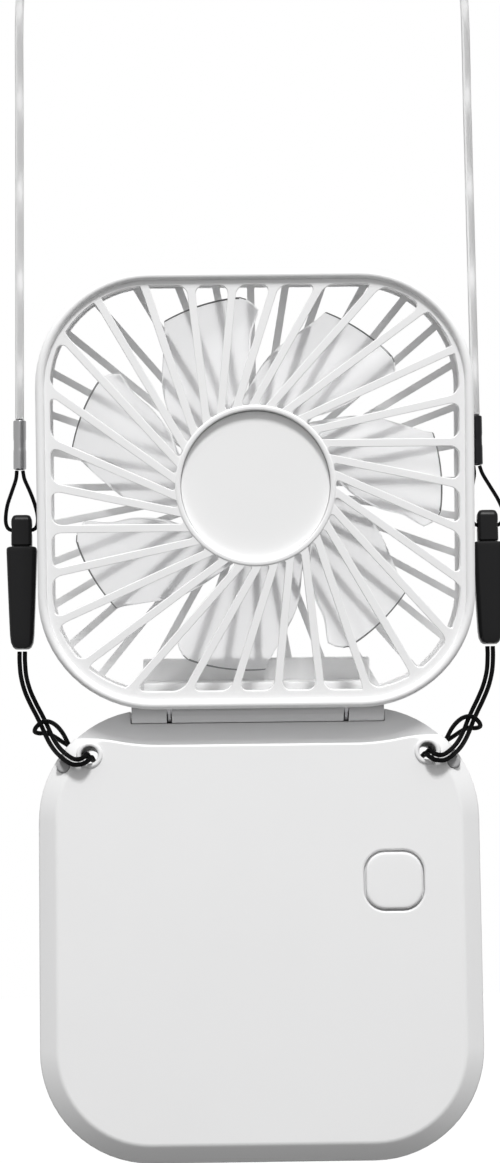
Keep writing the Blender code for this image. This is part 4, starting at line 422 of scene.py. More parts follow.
def skin(bm, faces, axis, closed=False):
    """Bridges the edges of faces in order. Closed joins the last to the first, and otherwise
    both ends are filled. The loops stand apart along the axis meanwhile, so that level steps
    bridge the right way."""
    loops = [face.edges[:] for face in faces]
    bmesh.ops.delete(bm, geom=faces, context="FACES_ONLY")
    spread = Vector(axis) * 50.0 * MM
    places = {}
    for index, loop in enumerate(loops):
        for vert in {vert for edge in loop for vert in edge.verts}:
            places[vert] = vert.co.copy()
            vert.co += spread * index
    pairs = list(zip(loops, loops[1:]))
    if closed:
        pairs.append((loops[-1], loops[0]))
    for first, second in pairs:
        bmesh.ops.bridge_loops(bm, edges=first + second)
    for vert, place in places.items():
        vert.co = place
    if not closed:
        for loop in (loops[0], loops[-1]):
            bmesh.ops.contextual_create(bm, geom=loop)


def prism(shape, sections, closed=False):
    """A bmesh skinned through outlines of one shape at (inset, depth) sections."""
    bm = bmesh.new()
    faces = [outline(bm, shape, inset, depth) for inset, depth in sections]
    skin(bm, faces, (0, 1, 0), closed)
    return bm


def square_prism(half, corner, rows, place):
    """A bmesh skinned through upright squares at (growth, depth) rows, in millimetres."""
    bm = bmesh.new()
    faces = []
    for growth, depth in rows:
        reach = half + growth * MM
        radius = max(0.4 * MM, corner + growth * MM)
        level = place @ Matrix.Translation((0, depth * MM, 0)) @ UPRIGHT
        faces.append(rounded_face(bm, level, reach, reach, radius, radius, 8))
    skin(bm, faces, (0, 1, 0))
    return bm


def turned(*parts):
    """A bmesh of parts, each a profile of (radius, depth) points, its number of steps, and the
    centres (x, z) of the axes along Y that it is spun round."""
    bm = bmesh.new()
    for profile, steps, centres in parts:
        for x, z in centres:
            verts = [bm.verts.new((x + radius, depth, z)) for radius, depth in profile]
            edges = [bm.edges.new(pair) for pair in zip(verts, verts[1:])]
            bmesh.ops.spin(
                bm, geom=verts + edges, cent=(x, 0, z), axis=(0, 1, 0), angle=4 * QUARTER,
                steps=steps, use_merge=True,
            )
            bmesh.ops.remove_doubles(bm, verts=bm.verts, dist=0.001 * MM)
    return bm


def on_hub(profile, steps):
    """A profile spun round the impeller's axis, in the head's frame."""
    bm = turned((profile, steps, ORIGIN))
    bmesh.ops.translate(bm, verts=bm.verts, vec=(0, 0, HUB_RISE))
    return bm


def peg(radius, start, end):
    return [(0, start), (radius, start), (radius, end), (0, end)]


def rim(radius, depth, across, along, steps=4):
    """Profile points of a quarter round, from the flat face at a depth to the side at a radius.
    It goes in from the radius by across, or out where across is negative."""
    turns = [QUARTER * step / steps for step in range(steps + 1)]
    return [(radius - across * (1 - math.sin(a)), depth + along * (1 - math.cos(a)))
            for a in turns]


def box(low, high):
    bm = bmesh.new()
    low, high = Vector(low), Vector(high)
    place = Matrix.Translation((low + high) / 2) @ Matrix.Diagonal((*(high - low), 1))
    bmesh.ops.create_cube(bm, size=1, matrix=place)
    return bm


def fold_cylinder(radius, length, height, middle=0.0):
    """A cylinder round the fold axis, which lies at a height in the piece's frame."""
    bm = bmesh.new()
    place = Matrix.Translation((middle, FOLD_INSET, height)) @ ALONG_X
    bmesh.ops.create_cone(
        bm, cap_ends=True, segments=48, radius1=radius, radius2=radius, depth=length,
        matrix=place,
    )
    return bm


def flared_cutter(bm, face, shift, flare, steps):
    """Makes a flat face a closed cutter: its far end lies at a shift in depth, and its near
    end runs out through a rounded mouth."""
    made = bmesh.ops.extrude_edge_only(bm, edges=face.edges[:])
    moved = [item for item in made["geom"] if isinstance(item, bmesh.types.BMVert)]
    bmesh.ops.translate(bm, verts=moved, vec=(0, shift, 0))
    ends = [item for item in made["geom"] if isinstance(item, bmesh.types.BMEdge)]
    bmesh.ops.contextual_create(bm, geom=ends)
    if (face.normal.y > 0) == (shift > 0):
        face.normal_flip()
    out, up = 0.0, 0.0
    for step in range(1, steps + 1):
        turn = QUARTER * step / steps
        next_out, next_up = flare * (1 - math.cos(turn)), flare * math.sin(turn)
        bmesh.ops.inset_individual(
            bm, faces=[face], thickness=out - next_out, depth=next_up - up,
            use_even_offset=True,
        )
        out, up = next_out, next_up
    bmesh.ops.inset_individual(bm, faces=[face], thickness=0, depth=OVERRUN)


def linked(name, data):
    made = bpy.data.objects.new(name, data)
    bpy.context.scene.collection.objects.link(made)
    return made


def raw_object(bm, name):
    mesh = bpy.data.meshes.new(name)
    bm.to_mesh(mesh)
    bm.free()
    return linked(name, mesh)


def to_object(bm, name, place=Matrix()):
    """A closed bmesh as an object at the origin, with its place in its mesh, faces outwards."""
    bmesh.ops.recalc_face_normals(bm, faces=bm.faces)
    if bm.calc_volume(signed=True) < 0:
        bmesh.ops.reverse_faces(bm, faces=bm.faces)
    bmesh.ops.transform(bm, matrix=place, verts=bm.verts)
    return raw_object(bm, name)


def baked_mesh(obj):
    graph = bpy.context.evaluated_depsgraph_get()
    return bpy.data.meshes.new_from_object(obj.evaluated_get(graph))


def combine(target, operation, tools):
    """Boolean steps in order; a tool is a bmesh or an object, and is used up."""
    for tool in tools:
        if isinstance(tool, bmesh.types.BMesh):
            tool = to_object(tool, "tool")
        modifier = target.modifiers.new(operation.lower(), "BOOLEAN")
        modifier.operation = operation
        modifier.object = tool
        modifier.solver = "MANIFOLD"
        target.data = baked_mesh(target)
        target.modifiers.clear()
        bpy.data.objects.remove(tool, do_unlink=True)


def join(target, *tools):
    combine(target, "UNION", tools)


def cut(target, *tools):
    combine(target, "DIFFERENCE", tools)


def dress(obj, material, body, cad_node, angle, weighted=True):
    """Finishes a piece: material, smooth shading, the body that it rides on, its CAD node."""
    mesh = obj.data
    mesh.name = obj.name
    mesh.materials.clear()
    mesh.materials.append(material)
    mesh.shade_smooth()
    mesh.set_sharp_from_angle(angle=math.radians(angle))
    if weighted:
        modifier = obj.modifiers.new("even_shading", "WEIGHTED_NORMAL")
        modifier.keep_sharp = True
        modifier.weight = 60
    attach(obj, body)
    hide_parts(cad_node)


def paint_shade_on_faces(obj, material, place, chosen):
    """Gives the faces that a test of middle and normal chooses, in a frame, a second material that
    paints shade on them.
    """
    obj.data.materials.append(material)
    inward = place.inverted()
    turn = inward.to_3x3()
    for face in obj.data.polygons:
        if chosen(inward @ face.center, turn @ face.normal):
            face.material_index = 1


def from_axis(point, height):
    """Distance of a point from the fold axis, which lies at a height in the point's frame."""
    return math.hypot(point.y - FOLD_INSET, point.z - height)


def curve_point(before, start, end, after, t):
    """A point of the smooth curve from start to end, given the points before and after."""
    return 0.5 * (
        2 * start + (end - before) * t
        + (2 * before - 5 * start + 4 * end - after) * t * t
        + (3 * start - before - 3 * end + after) * t * t * t
    )


# Cords


def smooth_route(points, spacing):
    """Points about spacing apart on a smooth curve through a route, in metres."""
    points = [Vector(point) for point in points]
    padded = [2 * points[0] - points[1], *points, 2 * points[-1] - points[-2]]
    fine = [points[0]]
    for ends in zip(padded, padded[1:], padded[2:], padded[3:]):
        fine += [curve_point(*ends, step / 20) for step in range(1, 21)]
    travelled = [0.0]
    for start, end in zip(fine, fine[1:]):
        travelled.append(travelled[-1] + (end - start).length)
    steps = max(2, round(travelled[-1] / spacing))
    spaced = []
    index = 0
    for step in range(steps + 1):
        wanted = travelled[-1] * step / steps
        while index < len(fine) - 2 and travelled[index + 1] < wanted:
            index += 1
        share = (wanted - travelled[index]) / (travelled[index + 1] - travelled[index])
        spaced.append(fine[index].lerp(fine[index + 1], min(1.0, share)))
    return spaced


def cord_tube(name, route, diameter, spacing):
    """A round cord as a mesh tube with the curve's UV map, and the points that it follows."""
    path = [BASE_PLACE @ point for point in smooth_route(route, spacing)]
    data = bpy.data.curves.new(name, "CURVE")
    data.dimensions = "3D"
    data.bevel_depth = diameter / 2
    data.bevel_resolution = 4
    data.use_fill_caps = True
    spline = data.splines.new("POLY")
    spline.points.add(len(path) - 1)
    for place, point in zip(spline.points, path):
        place.co = (*point, 1)
    curve = linked(name, data)
    mesh = baked_mesh(curve)
    bpy.data.objects.remove(curve, do_unlink=True)
    return linked(name, mesh), path


def neck_run(word, top_x, top):
    """From a ferrule up to the start of the arch."""
    low = FERRULE_HIGH + 0.3 * MM
    start = FERRULE_X[word]
    return [(start + share * (top_x - start), STRAP_DEPTH, low + share * (top - low))
            for share in (0, 0.25, 0.5, 0.75, 1.0)]


def neck_route():
    """Up from the left ferrule, over the arch and down to the right one."""
    top, arch = 166.0 * MM, 45.0 * MM
    left, right = -CLIP_X - 0.1 * MM, CLIP_X - 2.6 * MM
    over = []
    for step in range(1, 16):
        turn = math.pi * (1 - step / 16)
        half_width = -left if step < 8 else right
        over.append((half_width * math.cos(turn), STRAP_DEPTH, top + arch * math.sin(turn)))
    return neck_run("left", left, top) + over + neck_run("right", right, top)[::-1]


def string_route(side, word):
    """Down from the ferrule, through the plug's eye and back."""
    shift = side * FERRULE_X[word] - CLIP_X
    points = []
    for x, y, z in STRING_ROUTE:
        share = (z - STRING_LEAN_START) / (STRING_LEAN_END - STRING_LEAN_START)
        points.append((side * (CLIP_X + x * MM + max(0, share) * shift), y * MM, z * MM))
    return points


def hitch_route(side):
    """One strand down and through the eye, the bight behind, and the other strand back up."""
    down, up = [], []
    for centre, parting in HITCH_SPINE:
        parting = Vector(parting).normalized() * HITCH_OFFSET
        down.append(Vector(centre) + parting)
        up.append(Vector(centre) - parting)
    points = [Vector(point) * MM for point in (*down, *HITCH_BIGHT, *up[::-1])]
    return [(side * point.x, point.y, point.z) for point in points]


def lay_cord(cad_node, route, diameter, material, spacing=0.5 * MM):
    """A woven cord in place of its CAD node."""
    cord, path = cord_tube(f"{cad_node}_braid", route, diameter, spacing)
    dress(cord, material, "base", cad_node, 80, weighted=False)


class NECKFAN_OT_cords(Operator):
    """Lays the neck cord, the two string loops and the two doubled cords"""

    bl_idname = "neckfan.cords"
    bl_label = "Cords"

    def execute(self, context):
        sizes = context.scene.neckfan_lanyard
        colours = context.scene.neckfan_colours
        white = braided("neck_cord_weave", colours.cord, sizes.neck_length, strands=8,
                        pitch=1.5 * MM, depth=0.06 * MM, roughness=0.75, shade=0.94, gloss=0.2)
        lay_cord("neck_cord", neck_route(), sizes.neck_cord, white,
                 spacing=1.5 * MM)
        fine = {"strands": 6, "pitch": 0.9 * MM, "depth": 0.05 * MM, "roughness": 0.5,
                "shade": 0.5, "gloss": 0.05}
        short = braided("string_weave", colours.string, sizes.loop_length, **fine)
        long = braided("doubled_cord_weave", colours.string, sizes.hitch_length, **fine)
        for word, side in SIDES:
            lay_cord(f"string_loop_{word}", string_route(side, word), sizes.string,
                     short)
            lay_cord(f"hitch_cord_{word}", hitch_route(side), sizes.doubled_cord,
                     long)
        return {"FINISHED"}


# Lanyard hardware


class NECKFAN_OT_ferrules(Operator):
    """Makes the crimped ferrules at the ends of the neck cord"""

    bl_idname = "neckfan.ferrules"
    bl_label = "Ferrules"

    def execute(self, context):
        drawn = {"stretch": (1, 1, 0.12), "scale": 1400.0}
        silver = metal("ferrule_nickel", (0.33, 0.33, 0.335), 0.3, **drawn)
        black = metal("ferrule_black", (0.02, 0.02, 0.022), 0.32, **drawn)
        radius, edge, crimp = 1.5 * MM, 0.3 * MM, 0.08 * MM
        mouth, bore, bore_depth = radius - 0.5 * MM, radius - 0.55 * MM, 0.8 * MM
        low, high = FERRULE_LOW, FERRULE_HIGH
        middle = (low + high) / 2
        waist = []
        for share in (0.0, 0.3, 0.7, 1.0):
            ease = share * share * (3 - 2 * share)
            waist.append((radius - crimp * ease, (1.7 - 0.9 * share) * MM))
        profile = [
            (bore, low + bore_depth), (mouth, low), *rim(radius, low, edge, edge),
            *((r, middle - d) for r, d in waist), *((r, middle + d) for r, d in reversed(waist)),
            *reversed(rim(radius, high, edge, -edge)), (mouth, high), (bore, high - bore_depth),
        ]
        for word, material, slot in (("left", silver, "steel"),
                                     ("right", black, "black_plastic")):
            bm = turned((profile, 48, ORIGIN))
            bmesh.ops.holes_fill(bm, edges=[e for e in bm.edges if e.is_boundary])
            place = BASE_PLACE @ Matrix.Translation((FERRULE_X[word], STRAP_DEPTH, 0)) @ UPRIGHT
            tube = to_object(bm, f"ferrule_{word}_tube", place)
            dress(tube, material, "base", f"ferrule_{word}", 40)
        return {"FINISHED"}


class NECKFAN_OT_clips(Operator):
    """Makes the clips: a plug on the string loop and the socket on the doubled cord"""

    bl_idname = "neckfan.clips"
    bl_label = "Clips"

    # Half width, half thickness, corner radius and height above the joint, in millimetres
    plug_rows = [
        (1.5, 0.9, 0.6, 7.5), (1.85, 1.2, 0.8, 7.4), (2.1, 1.5, 0.9, 7.1), (2.35, 1.8, 0.9, 6.5),
        (2.4, 1.9, 0.9, 6.0), (2.4, 1.9, 0.9, 0.5), (2.25, 1.75, 0.8, 0.3), (1.8, 1.2, 0.45, 0.3),
        (1.8, 1.2, 0.45, -5.9), (1.4, 0.9, 0.4, -6.5),
    ]
    socket_rows = [
        (2.1, 1.5, 0.75, -6.8), (2.1, 1.5, 0.75, -0.2), (2.3, 1.7, 0.8, 0), (2.95, 2.0, 1.1, 0),
        (3.3, 2.2, 1.1, -0.15), (3.5, 2.28, 1.1, -0.5), (3.5, 2.3, 1.1, -1.2),
        (3.3, 2.3, 1.1, -7.0), (3.0, 2.3, 1.1, -15.0), (2.75, 2.3, 1.1, -20.7),
        (2.55, 2.15, 1.1, -22.3), (2.1, 1.8, 1.0, -23.3), (1.6, 1.3, 0.9, -23.7),
    ]

    def execute(self, context):
        satin = moulded_plastic("clip_plastic", context.scene.neckfan_colours.clip, 0.34, 0.3,
                                0.85, 0.006, Specular_IOR_Level=0.15)
        radius, flare, eye_height = 1.15 * MM, 0.5 * MM, CLIP_JOINT + 4.0 * MM
        half = [(0, -4.0 * MM), (radius + flare, -4.0 * MM), (radius + flare, -2.4 * MM),
                (radius + 0.15 * MM, -2.15 * MM), (radius, -1.7 * MM)]
        profile = half + [(r, -depth) for r, depth in reversed(half)]
        for word, side in SIDES:
            plug = self.moulding(side, self.plug_rows, f"clip_plug_{word}_body")
            place = Matrix.Translation((side * CLIP_X, STRAP_DEPTH, eye_height))
            place = BASE_PLACE @ place @ Matrix.Rotation(QUARTER, 4, "Z")
            cut(plug, to_object(turned((profile, 32, ORIGIN)), "plug_eye", place))
            dress(plug, satin, "base", f"clip_plug_{word}", 35)
            socket = self.moulding(side, self.socket_rows, f"clip_socket_{word}_sleeve")
            dress(socket, satin, "base", f"clip_socket_{word}", 35)
        return {"FINISHED"}

    def moulding(self, side, rows, name):
        bm = bmesh.new()
        faces = []
        for half_x, half_y, corner, height in rows:
            place = Matrix.Translation((side * CLIP_X, STRAP_DEPTH, CLIP_JOINT + height * MM))
            faces.append(rounded_face(bm, place, half_x * MM, half_y * MM, corner * MM,
                                      corner * MM, 6))
        skin(bm, faces, (0, 0, 1))
        return to_object(bm, name, BASE_PLACE)


# Fan head


def keep_side(bm, verts, point, normal):
    """Cuts one flat face by a plane and keeps what lies behind it."""
    faces = {f for v in verts for f in v.link_faces}
    edges = {e for f in faces for e in f.edges}
    made = bmesh.ops.bisect_plane(
        bm, geom=list(verts) + list(edges) + list(faces), plane_co=point, plane_no=normal,
        clear_outer=True, dist=0.0001 * MM,
    )
    left = {v for v in verts if v.is_valid}
    return left | {v for v in made["geom_cut"] if isinstance(v, bmesh.types.BMVert)}


def slot_cutters(shape, inset, count, width, offset, turn, hub, front, back, tip, heel, flare):
    """A closed cutter for each gap between two bars, with round corners and a rounded mouth.
    The bars pass the hub's middle at an offset; the mouth is on the side of front."""
    bm = bmesh.new()
    centre = Vector((0, front, HUB_RISE))
    reach = math.sqrt(max(hub * hub - offset * offset, 0))
    step = 4 * QUARTER / count
    for k in range(count):
        verts = set(outline(bm, shape, inset, front).verts)
        for index, sign in ((k, 1), (k + 1, -1)):
            bar = turn + index * step
            normal = Vector((-math.sin(bar), 0, math.cos(bar)))
            point = normal * (offset + sign * width / 2) + centre
            verts = keep_side(bm, verts, point, -sign * normal)
        gap = turn + (k + 0.5) * step
        normal = Vector((-math.sin(gap), 0, math.cos(gap)))
        along = Vector((math.cos(gap), 0, math.sin(gap)))
        outward = (normal * offset + along * reach).normalized()
        verts = keep_side(bm, verts, outward * hub + centre, -along)
        bmesh.ops.remove_doubles(bm, verts=list(verts), dist=0.02 * MM)
        face = next(f for v in verts if v.is_valid for f in v.link_faces)
        # Corners are sharper than 20 degrees, and the steps of the outline's arcs aren't
        corners = [loop.vert for loop in face.loops
                   if abs(math.pi - loop.calc_angle()) > math.radians(20)]
        far = [v for v in corners if (v.co - centre).length > (hub + HEAD_HALF) / 2]
        near = [v for v in corners if v not in far]
        round_corners(bm, far, tip, 6)
        made = round_corners(bm, near, heel, 6)
        face = max((f for v in made["verts"] for f in v.link_faces), key=lambda f: len(f.verts))
        flared_cutter(bm, face, back - front, flare, 3)
    return bm


class NECKFAN_OT_front_grille(Operator):
    """Moulds the front grille: rim with its lip, slanted bars and hub ring"""

    bl_idname = "neckfan.front_grille"
    bl_label = "Front grille"

    def execute(self, context):
        sizes = context.scene.neckfan_head
        rise, outer = sizes.lip_rise, sizes.hub_radius
        back, plate_back = 7.85 * MM, rise + 3.0 * MM
        tongue_back = back + 1.4 * MM
        flange, wall, tongue = 3.7 * MM, 2.4 * MM, 1.6 * MM
        lip = [(sizes.lip_width / 2 * (1 - math.cos(a)), rise * (1 - math.sin(a)))
               for a in (math.pi * step / 8 for step in range(9))]
        sections = [(0, back), (0, rise + 0.6 * MM), *lip, (flange, rise), (flange, plate_back),
                    (wall, plate_back), (wall, tongue_back), (tongue, tongue_back),
                    (tongue, back)]
        grille = to_object(prism(HEAD_SHAPE, sections, closed=True), "front_grille_moulding")
        plate_inset, thick, mouth = 3.1 * MM, 2.4 * MM, 0.2 * MM
        plate = prism(HEAD_SHAPE, [(plate_inset, rise + 0.02 * MM), (plate_inset, rise + thick)])
        half, half_sill = HEAD_HALF, sizes.sill / 2
        opening = (half, half - half_sill, *HEAD_SHAPE[2:4], half_sill)
        slots = slot_cutters(
            opening, sizes.rim_width, sizes.bar_count, sizes.bar_width, sizes.bar_offset,
            turn=0.0, hub=outer - 0.1 * MM, front=rise + mouth, back=plate_back + 1.5 * MM,
            tip=sizes.slot_round, heel=0.5 * MM, flare=mouth,
        )
        ring_front, ring_back, floor = rise - 0.2 * MM, 5.2 * MM, 4.0 * MM
        inner, edge = outer - 1.3 * MM, 0.45 * MM
        hub = [(0, ring_front), *rim(outer, ring_front, edge, edge), (outer, ring_back),
               (0, ring_back)]
        well = [(0, -OVERRUN), (inner + edge, -OVERRUN), *rim(inner, ring_front, -edge, edge),
                (inner, floor), (0, floor)]
        join(grille, plate)
        cut(grille, slots)
        join(grille, on_hub(hub, 128))
        cut(grille, on_hub(well, 128),
            fold_cylinder(HEAD_RELIEF_RADIUS, FOLD_RELIEF_LENGTH, FOLD_BELOW_HEAD))
        grille.data.transform(HEAD_PLACE)
        white = moulded_plastic("grille_plastic", context.scene.neckfan_colours.head, 0.34)
        dress(grille, white, "head", "front_grille", 50)
        return {"FINISHED"}


class NECKFAN_OT_hub_cap(Operator):
    """Makes the round disc in the hub ring"""

    bl_idname = "neckfan.hub_cap"
    bl_label = "Hub cap"

    def execute(self, context):
        radius = context.scene.neckfan_head.hub_radius - 1.4 * MM
        front, back, edge, sag = 2.5 * MM, 3.7 * MM, 0.1 * MM, 0.08 * MM
        profile = [(0, front), *rim(radius, front, edge, edge), (radius, back), (0, back)]
        place = AXIS_PLACE @ Matrix.Translation((0, 0, -sag))
        cap = to_object(turned((profile, 128, ORIGIN)), "hub_cap_disc", place)
        disc = context.scene.neckfan_colours.disc
        satin = moulded_plastic("hub_cap_plastic", disc, 0.42, grain=0.25)
        dress(cap, satin, "head", "hub_cap", 50)
        return {"FINISHED"}


class NECKFAN_OT_rear_shell(Operator):
    """Moulds the rear shell: side wall, radial bars, motor seat, hinge block and knuckles"""

    bl_idname = "neckfan.rear_shell"
    bl_label = "Rear shell"

    def execute(self, context):
        sizes = context.scene.neckfan_head
        colours = context.scene.neckfan_colours
        depth, start, groove = HEAD_DEPTH, 8.15 * MM, 9.55 * MM
        outer, inner, rebate = 0.7 * MM, 2.3 * MM, 1.3 * MM
        flange, flange_front = inner + 0.8 * MM, depth - 1.8 * MM
        sections = [(0.25 * MM, start), (0.3 * MM, start + 0.3 * MM), (outer, groove),
                    *reversed(rim(outer, depth, -1.3 * MM, -1.7 * MM, 6)), (flange, depth),
                    (flange, flange_front), (inner, flange_front), (inner, groove),
                    (rebate, groove), (rebate, start)]
        shell = to_object(prism(HEAD_SHAPE, sections, closed=True), "rear_shell_moulding")
        back = depth - 0.4 * MM
        front = back - 1.4 * MM
        edge = inner - 0.3 * MM
        plate = to_object(prism(HEAD_SHAPE, [(edge, front), (edge, back)]), "rear_plate")
        cut(plate, slot_cutters(
            HEAD_SHAPE, inner + 0.4 * MM, sizes.rear_bar_count, sizes.rear_bar_width, offset=0.0,
            turn=math.radians(0.5), hub=18.4 * MM, front=back - 0.2 * MM, back=front - OVERRUN,
            tip=0.8 * MM, heel=0.4 * MM, flare=0.2 * MM,
        ))
        hub_radius, hub_back, edge = 18.5 * MM, depth - 0.2 * MM, 0.8 * MM
        hub_front = hub_back - 3.4 * MM
        hub = [(0, hub_front), (hub_radius, hub_front),
               *reversed(rim(hub_radius, hub_back, edge, -edge)), (0, hub_back)]
        floor = -HEAD_HALF + 1.3 * MM
        reach, block_height, plate_height = 26.0 * MM, 3.9 * MM, 8.9 * MM
        block = box((-reach, 9.6 * MM, floor), (reach, back - 0.3 * MM, floor + block_height))
        reach += 0.3 * MM
        hinge_plate = box((-reach, back - 2.6 * MM, floor + 0.3 * MM),
                          (reach, back + 0.2 * MM, floor + plate_height))
        bmesh.ops.bevel(
            hinge_plate, geom=hinge_plate.edges[:], offset=0.5 * MM, offset_type="OFFSET",
            affect="EDGES", segments=3, profile=0.5, material=-1,
        )
        join(shell, plate, on_hub(hub, 96), block, hinge_plate)
        barrel_width, knuckle_width, knuckle_x = 41.3 * MM, 8.0 * MM, 24.8 * MM
        pin_hole, pin_hole_width, pin_hole_x = 1.58 * MM, 8.5 * MM, 24.05 * MM
        cut(shell, fold_cylinder(HEAD_RELIEF_RADIUS, barrel_width, FOLD_BELOW_HEAD))
        for side in (-1, 1):
            join(shell, fold_cylinder(KNUCKLE_RADIUS, knuckle_width, FOLD_BELOW_HEAD,
                                      side * knuckle_x))
            cut(shell, fold_cylinder(pin_hole, pin_hole_width, FOLD_BELOW_HEAD,
                                     side * pin_hole_x))
        tip, seat, end = 8.0 * MM, back - 1.0 * MM, depth + OVERRUN
        screw = [(0, tip), (SCREW_HOLE, tip), (SCREW_HOLE, seat), (SCREW_HEAD_HOLE, seat),
                 (SCREW_HEAD_HOLE, end), (0, end)]
        screw_x, height = 15.0 * MM, floor + block_height / 2
        motor_hole, seat_front, seat_back = 4.16 * MM, 12.0 * MM, 18.8 * MM
        cut(shell, on_hub(peg(motor_hole, seat_front, seat_back), 48),
            turned((screw, 32, [(-screw_x, height), (screw_x, height)])))
        shell.data.transform(HEAD_PLACE)
        white = moulded_plastic("rear_shell_plastic", colours.head, 0.36,
                                Subsurface_Weight=1.0, Subsurface_Scale=0.8 * MM,
                                Subsurface_Radius=(1, 1, 1))
        dress(shell, white, "head", "rear_shell", 50)
        # Painted shade: the knuckles take a grey in place of the white, for the shade under the
        # head
        painted_shade = moulded_plastic("knuckle_painted_shade", colours.recess, 0.42)
        paint_shade_on_faces(shell, painted_shade, HEAD_PLACE, self.on_knuckle)
        return {"FINISHED"}

    def on_knuckle(self, middle, normal):
        """The round and the end faces of a knuckle, which take the grey that paints the shade
        under the head.
        """
        distance = from_axis(middle, FOLD_BELOW_HEAD)
        if distance > KNUCKLE_RADIUS + 0.05 * MM:
            return False
        return abs(normal.x) > 0.9 or distance > KNUCKLE_RADIUS - 0.1 * MM


class NECKFAN_OT_impeller(Operator):
    """Moulds the impeller: a cupped hub and its twisted blades"""

    bl_idname = "neckfan.impeller"
    bl_label = "Impeller"

    # Share of the way from root to tip, and the angles of the two edges in degrees
    row_shares = [(0.0, 22, 66), (0.24, 9, 55), (0.5, 3.5, 46), (0.76, 2.5, 36), (1.0, 0, 30)]
    turn = 345.5
    # A blade's root and tip, each with its radius and the depths of its two edges
    root = (16.4 * MM, 7.2 * MM, 13.8 * MM)
    tip = (43.0 * MM, 6.4 * MM, 15.0 * MM)
    tip_corner = 3.2 * MM
    tip_corner_share = 0.22
    curl = 1.3

    def execute(self, context):
        sizes = context.scene.neckfan_head
        blade = context.scene.neckfan_colours.blade
        outer, front, back, edge = 17.0 * MM, 6.0 * MM, 14.4 * MM, 1.0 * MM
        inner, floor = 15.5 * MM, 7.5 * MM
        profile = [(0, front), *rim(outer, front, edge, edge, 6), (outer, back), (inner, back),
                   (inner, floor), (0, floor)]
        hub = to_object(turned((profile, 96, ORIGIN)), "impeller_moulding")
        blades = bmesh.new()
        bmesh.ops.create_grid(blades, x_segments=24, y_segments=16, size=0.5)
        for vert in blades.verts:
            vert.co = self.blade_point(vert.co.x + 0.5, vert.co.y + 0.5)
        bmesh.ops.spin(blades, geom=blades.verts[:] + blades.edges[:] + blades.faces[:],
                       cent=(0, 0, 0), axis=(0, 1, 0), angle=4 * QUARTER,
                       steps=sizes.blade_count, use_duplicate=True)
        bmesh.ops.remove_doubles(blades, verts=blades.verts, dist=0.002 * MM)
        bmesh.ops.recalc_face_normals(blades, faces=blades.faces)
        vanes = raw_object(blades, "blades")
        wall = vanes.modifiers.new("thickness", "SOLIDIFY")
        wall.thickness = sizes.blade_thickness
        wall.offset = 0
        edges = vanes.modifiers.new("edges", "BEVEL")
        edges.width = 0.45 * MM
        edges.segments = 3
        edges.limit_method = "ANGLE"
        edges.angle_limit = math.radians(60)
        join(hub, vanes)
        hub.data.transform(AXIS_PLACE)
        plastic = moulded_plastic("frosted_blade_plastic", blade, 0.32,
                                  Transmission_Weight=0.85, IOR=1.25)
        dress(hub, plastic, "rotor", "impeller", 40)
        # Painted shade: the blades' tips are set to a quarter of the blade's tone
        painted_tip_shade = moulded_plastic("blade_tip_painted_shade", tinted(blade, 0.25), 0.4)
        paint_shade_on_faces(hub, painted_tip_shade, AXIS_PLACE, self.at_tip)
        return {"FINISHED"}

    def at_tip(self, middle, normal):
        """The narrow faces at the blades' tips, which look outward and take painted shade."""
        radius = math.hypot(middle.x, middle.z)
        outward = (middle.x * normal.x + middle.z * normal.z) / max(radius, MM)
        return outward > 0.85 or (radius > self.tip[0] - 0.5 * MM and outward > 0.3)

    def blade_point(self, share, across):
        """A point of one blade: share runs from root to tip, across from edge to edge."""
        rows = self.row_shares
        index = max(i for i in range(len(rows) - 1) if rows[i][0] <= share + 1e-9)
        start, end = rows[index], rows[index + 1]
        before = rows[index - 1] if index else start
        after = rows[index + 2] if index + 2 < len(rows) else end
        t = (share - start[0]) / (end[0] - start[0])
        first, last = (curve_point(before[c], start[c], end[c], after[c], t) for c in (1, 2))
        cut_back = self.tip_corner * max(0.0, 1 - across / self.tip_corner_share) ** 2
        radius = self.root[0] + share * (self.tip[0] - cut_back - self.root[0])
        front = self.root[1] + share * (self.tip[1] - self.root[1])
        back = self.root[2] + share * (self.tip[2] - self.root[2])
        turn = math.radians(self.turn + first + across * (last - first))
        depth = front + (back - front) * across ** self.curl
        return Vector((radius * math.cos(turn), depth, radius * math.sin(turn)))


# Battery base


def recess_cutter(drop, edge):
    """The recess under the head: a flat bottom that rises to its wings, with a rounded lip."""
    bm = bmesh.new()
    wing, high, side = -7.0 * MM, 3.0 * MM, BASE_HALF + 2.0 * MM
    wing_x, flat_x, fillet = 36.5 * MM, 27.0 * MM, 4.4 * MM
    points = [(-side, wing), (-wing_x, wing), (-flat_x, -drop), (flat_x, -drop), (wing_x, wing),
              (side, wing), (side, high), (-side, high)]
    verts = [bm.verts.new((x, edge, z)) for x, z in points]
    bm.faces.new(verts)
    round_corners(bm, verts[1:5], fillet, 10)
    bm.faces.ensure_lookup_table()
    flared_cutter(bm, bm.faces[0], RECESS_DEPTH - edge, edge, 4)
    return bm


def port_cutter():
    """The opening in the base's lower edge for the charging socket."""
    bm = bmesh.new()
    low = -FOLD_CLEARANCE - BASE_HEIGHT
    half_x, half_y, corner, middle = 4.75 * MM, 1.9 * MM, 1.82 * MM, 6.3 * MM
    faces = []
    for height, grow in ((-OVERRUN, 0.2 * MM), (0, 0.2 * MM), (0.2 * MM, 0), (2.8 * MM, 0)):
        place = Matrix.Translation((0, middle, low + height))
        faces.append(rounded_face(bm, place, half_x + grow, half_y + grow, corner + grow,
                                  corner + grow, 8))
    skin(bm, faces, (0, 0, 1))
    return bm


def leaf_slot(back, top):
    """Room for the hinge's leaf between the covers."""
    half, front, low = 17.3 * MM, 8.68 * MM, -3.05 * MM
    return box((-half, front, low), (half, back, top))


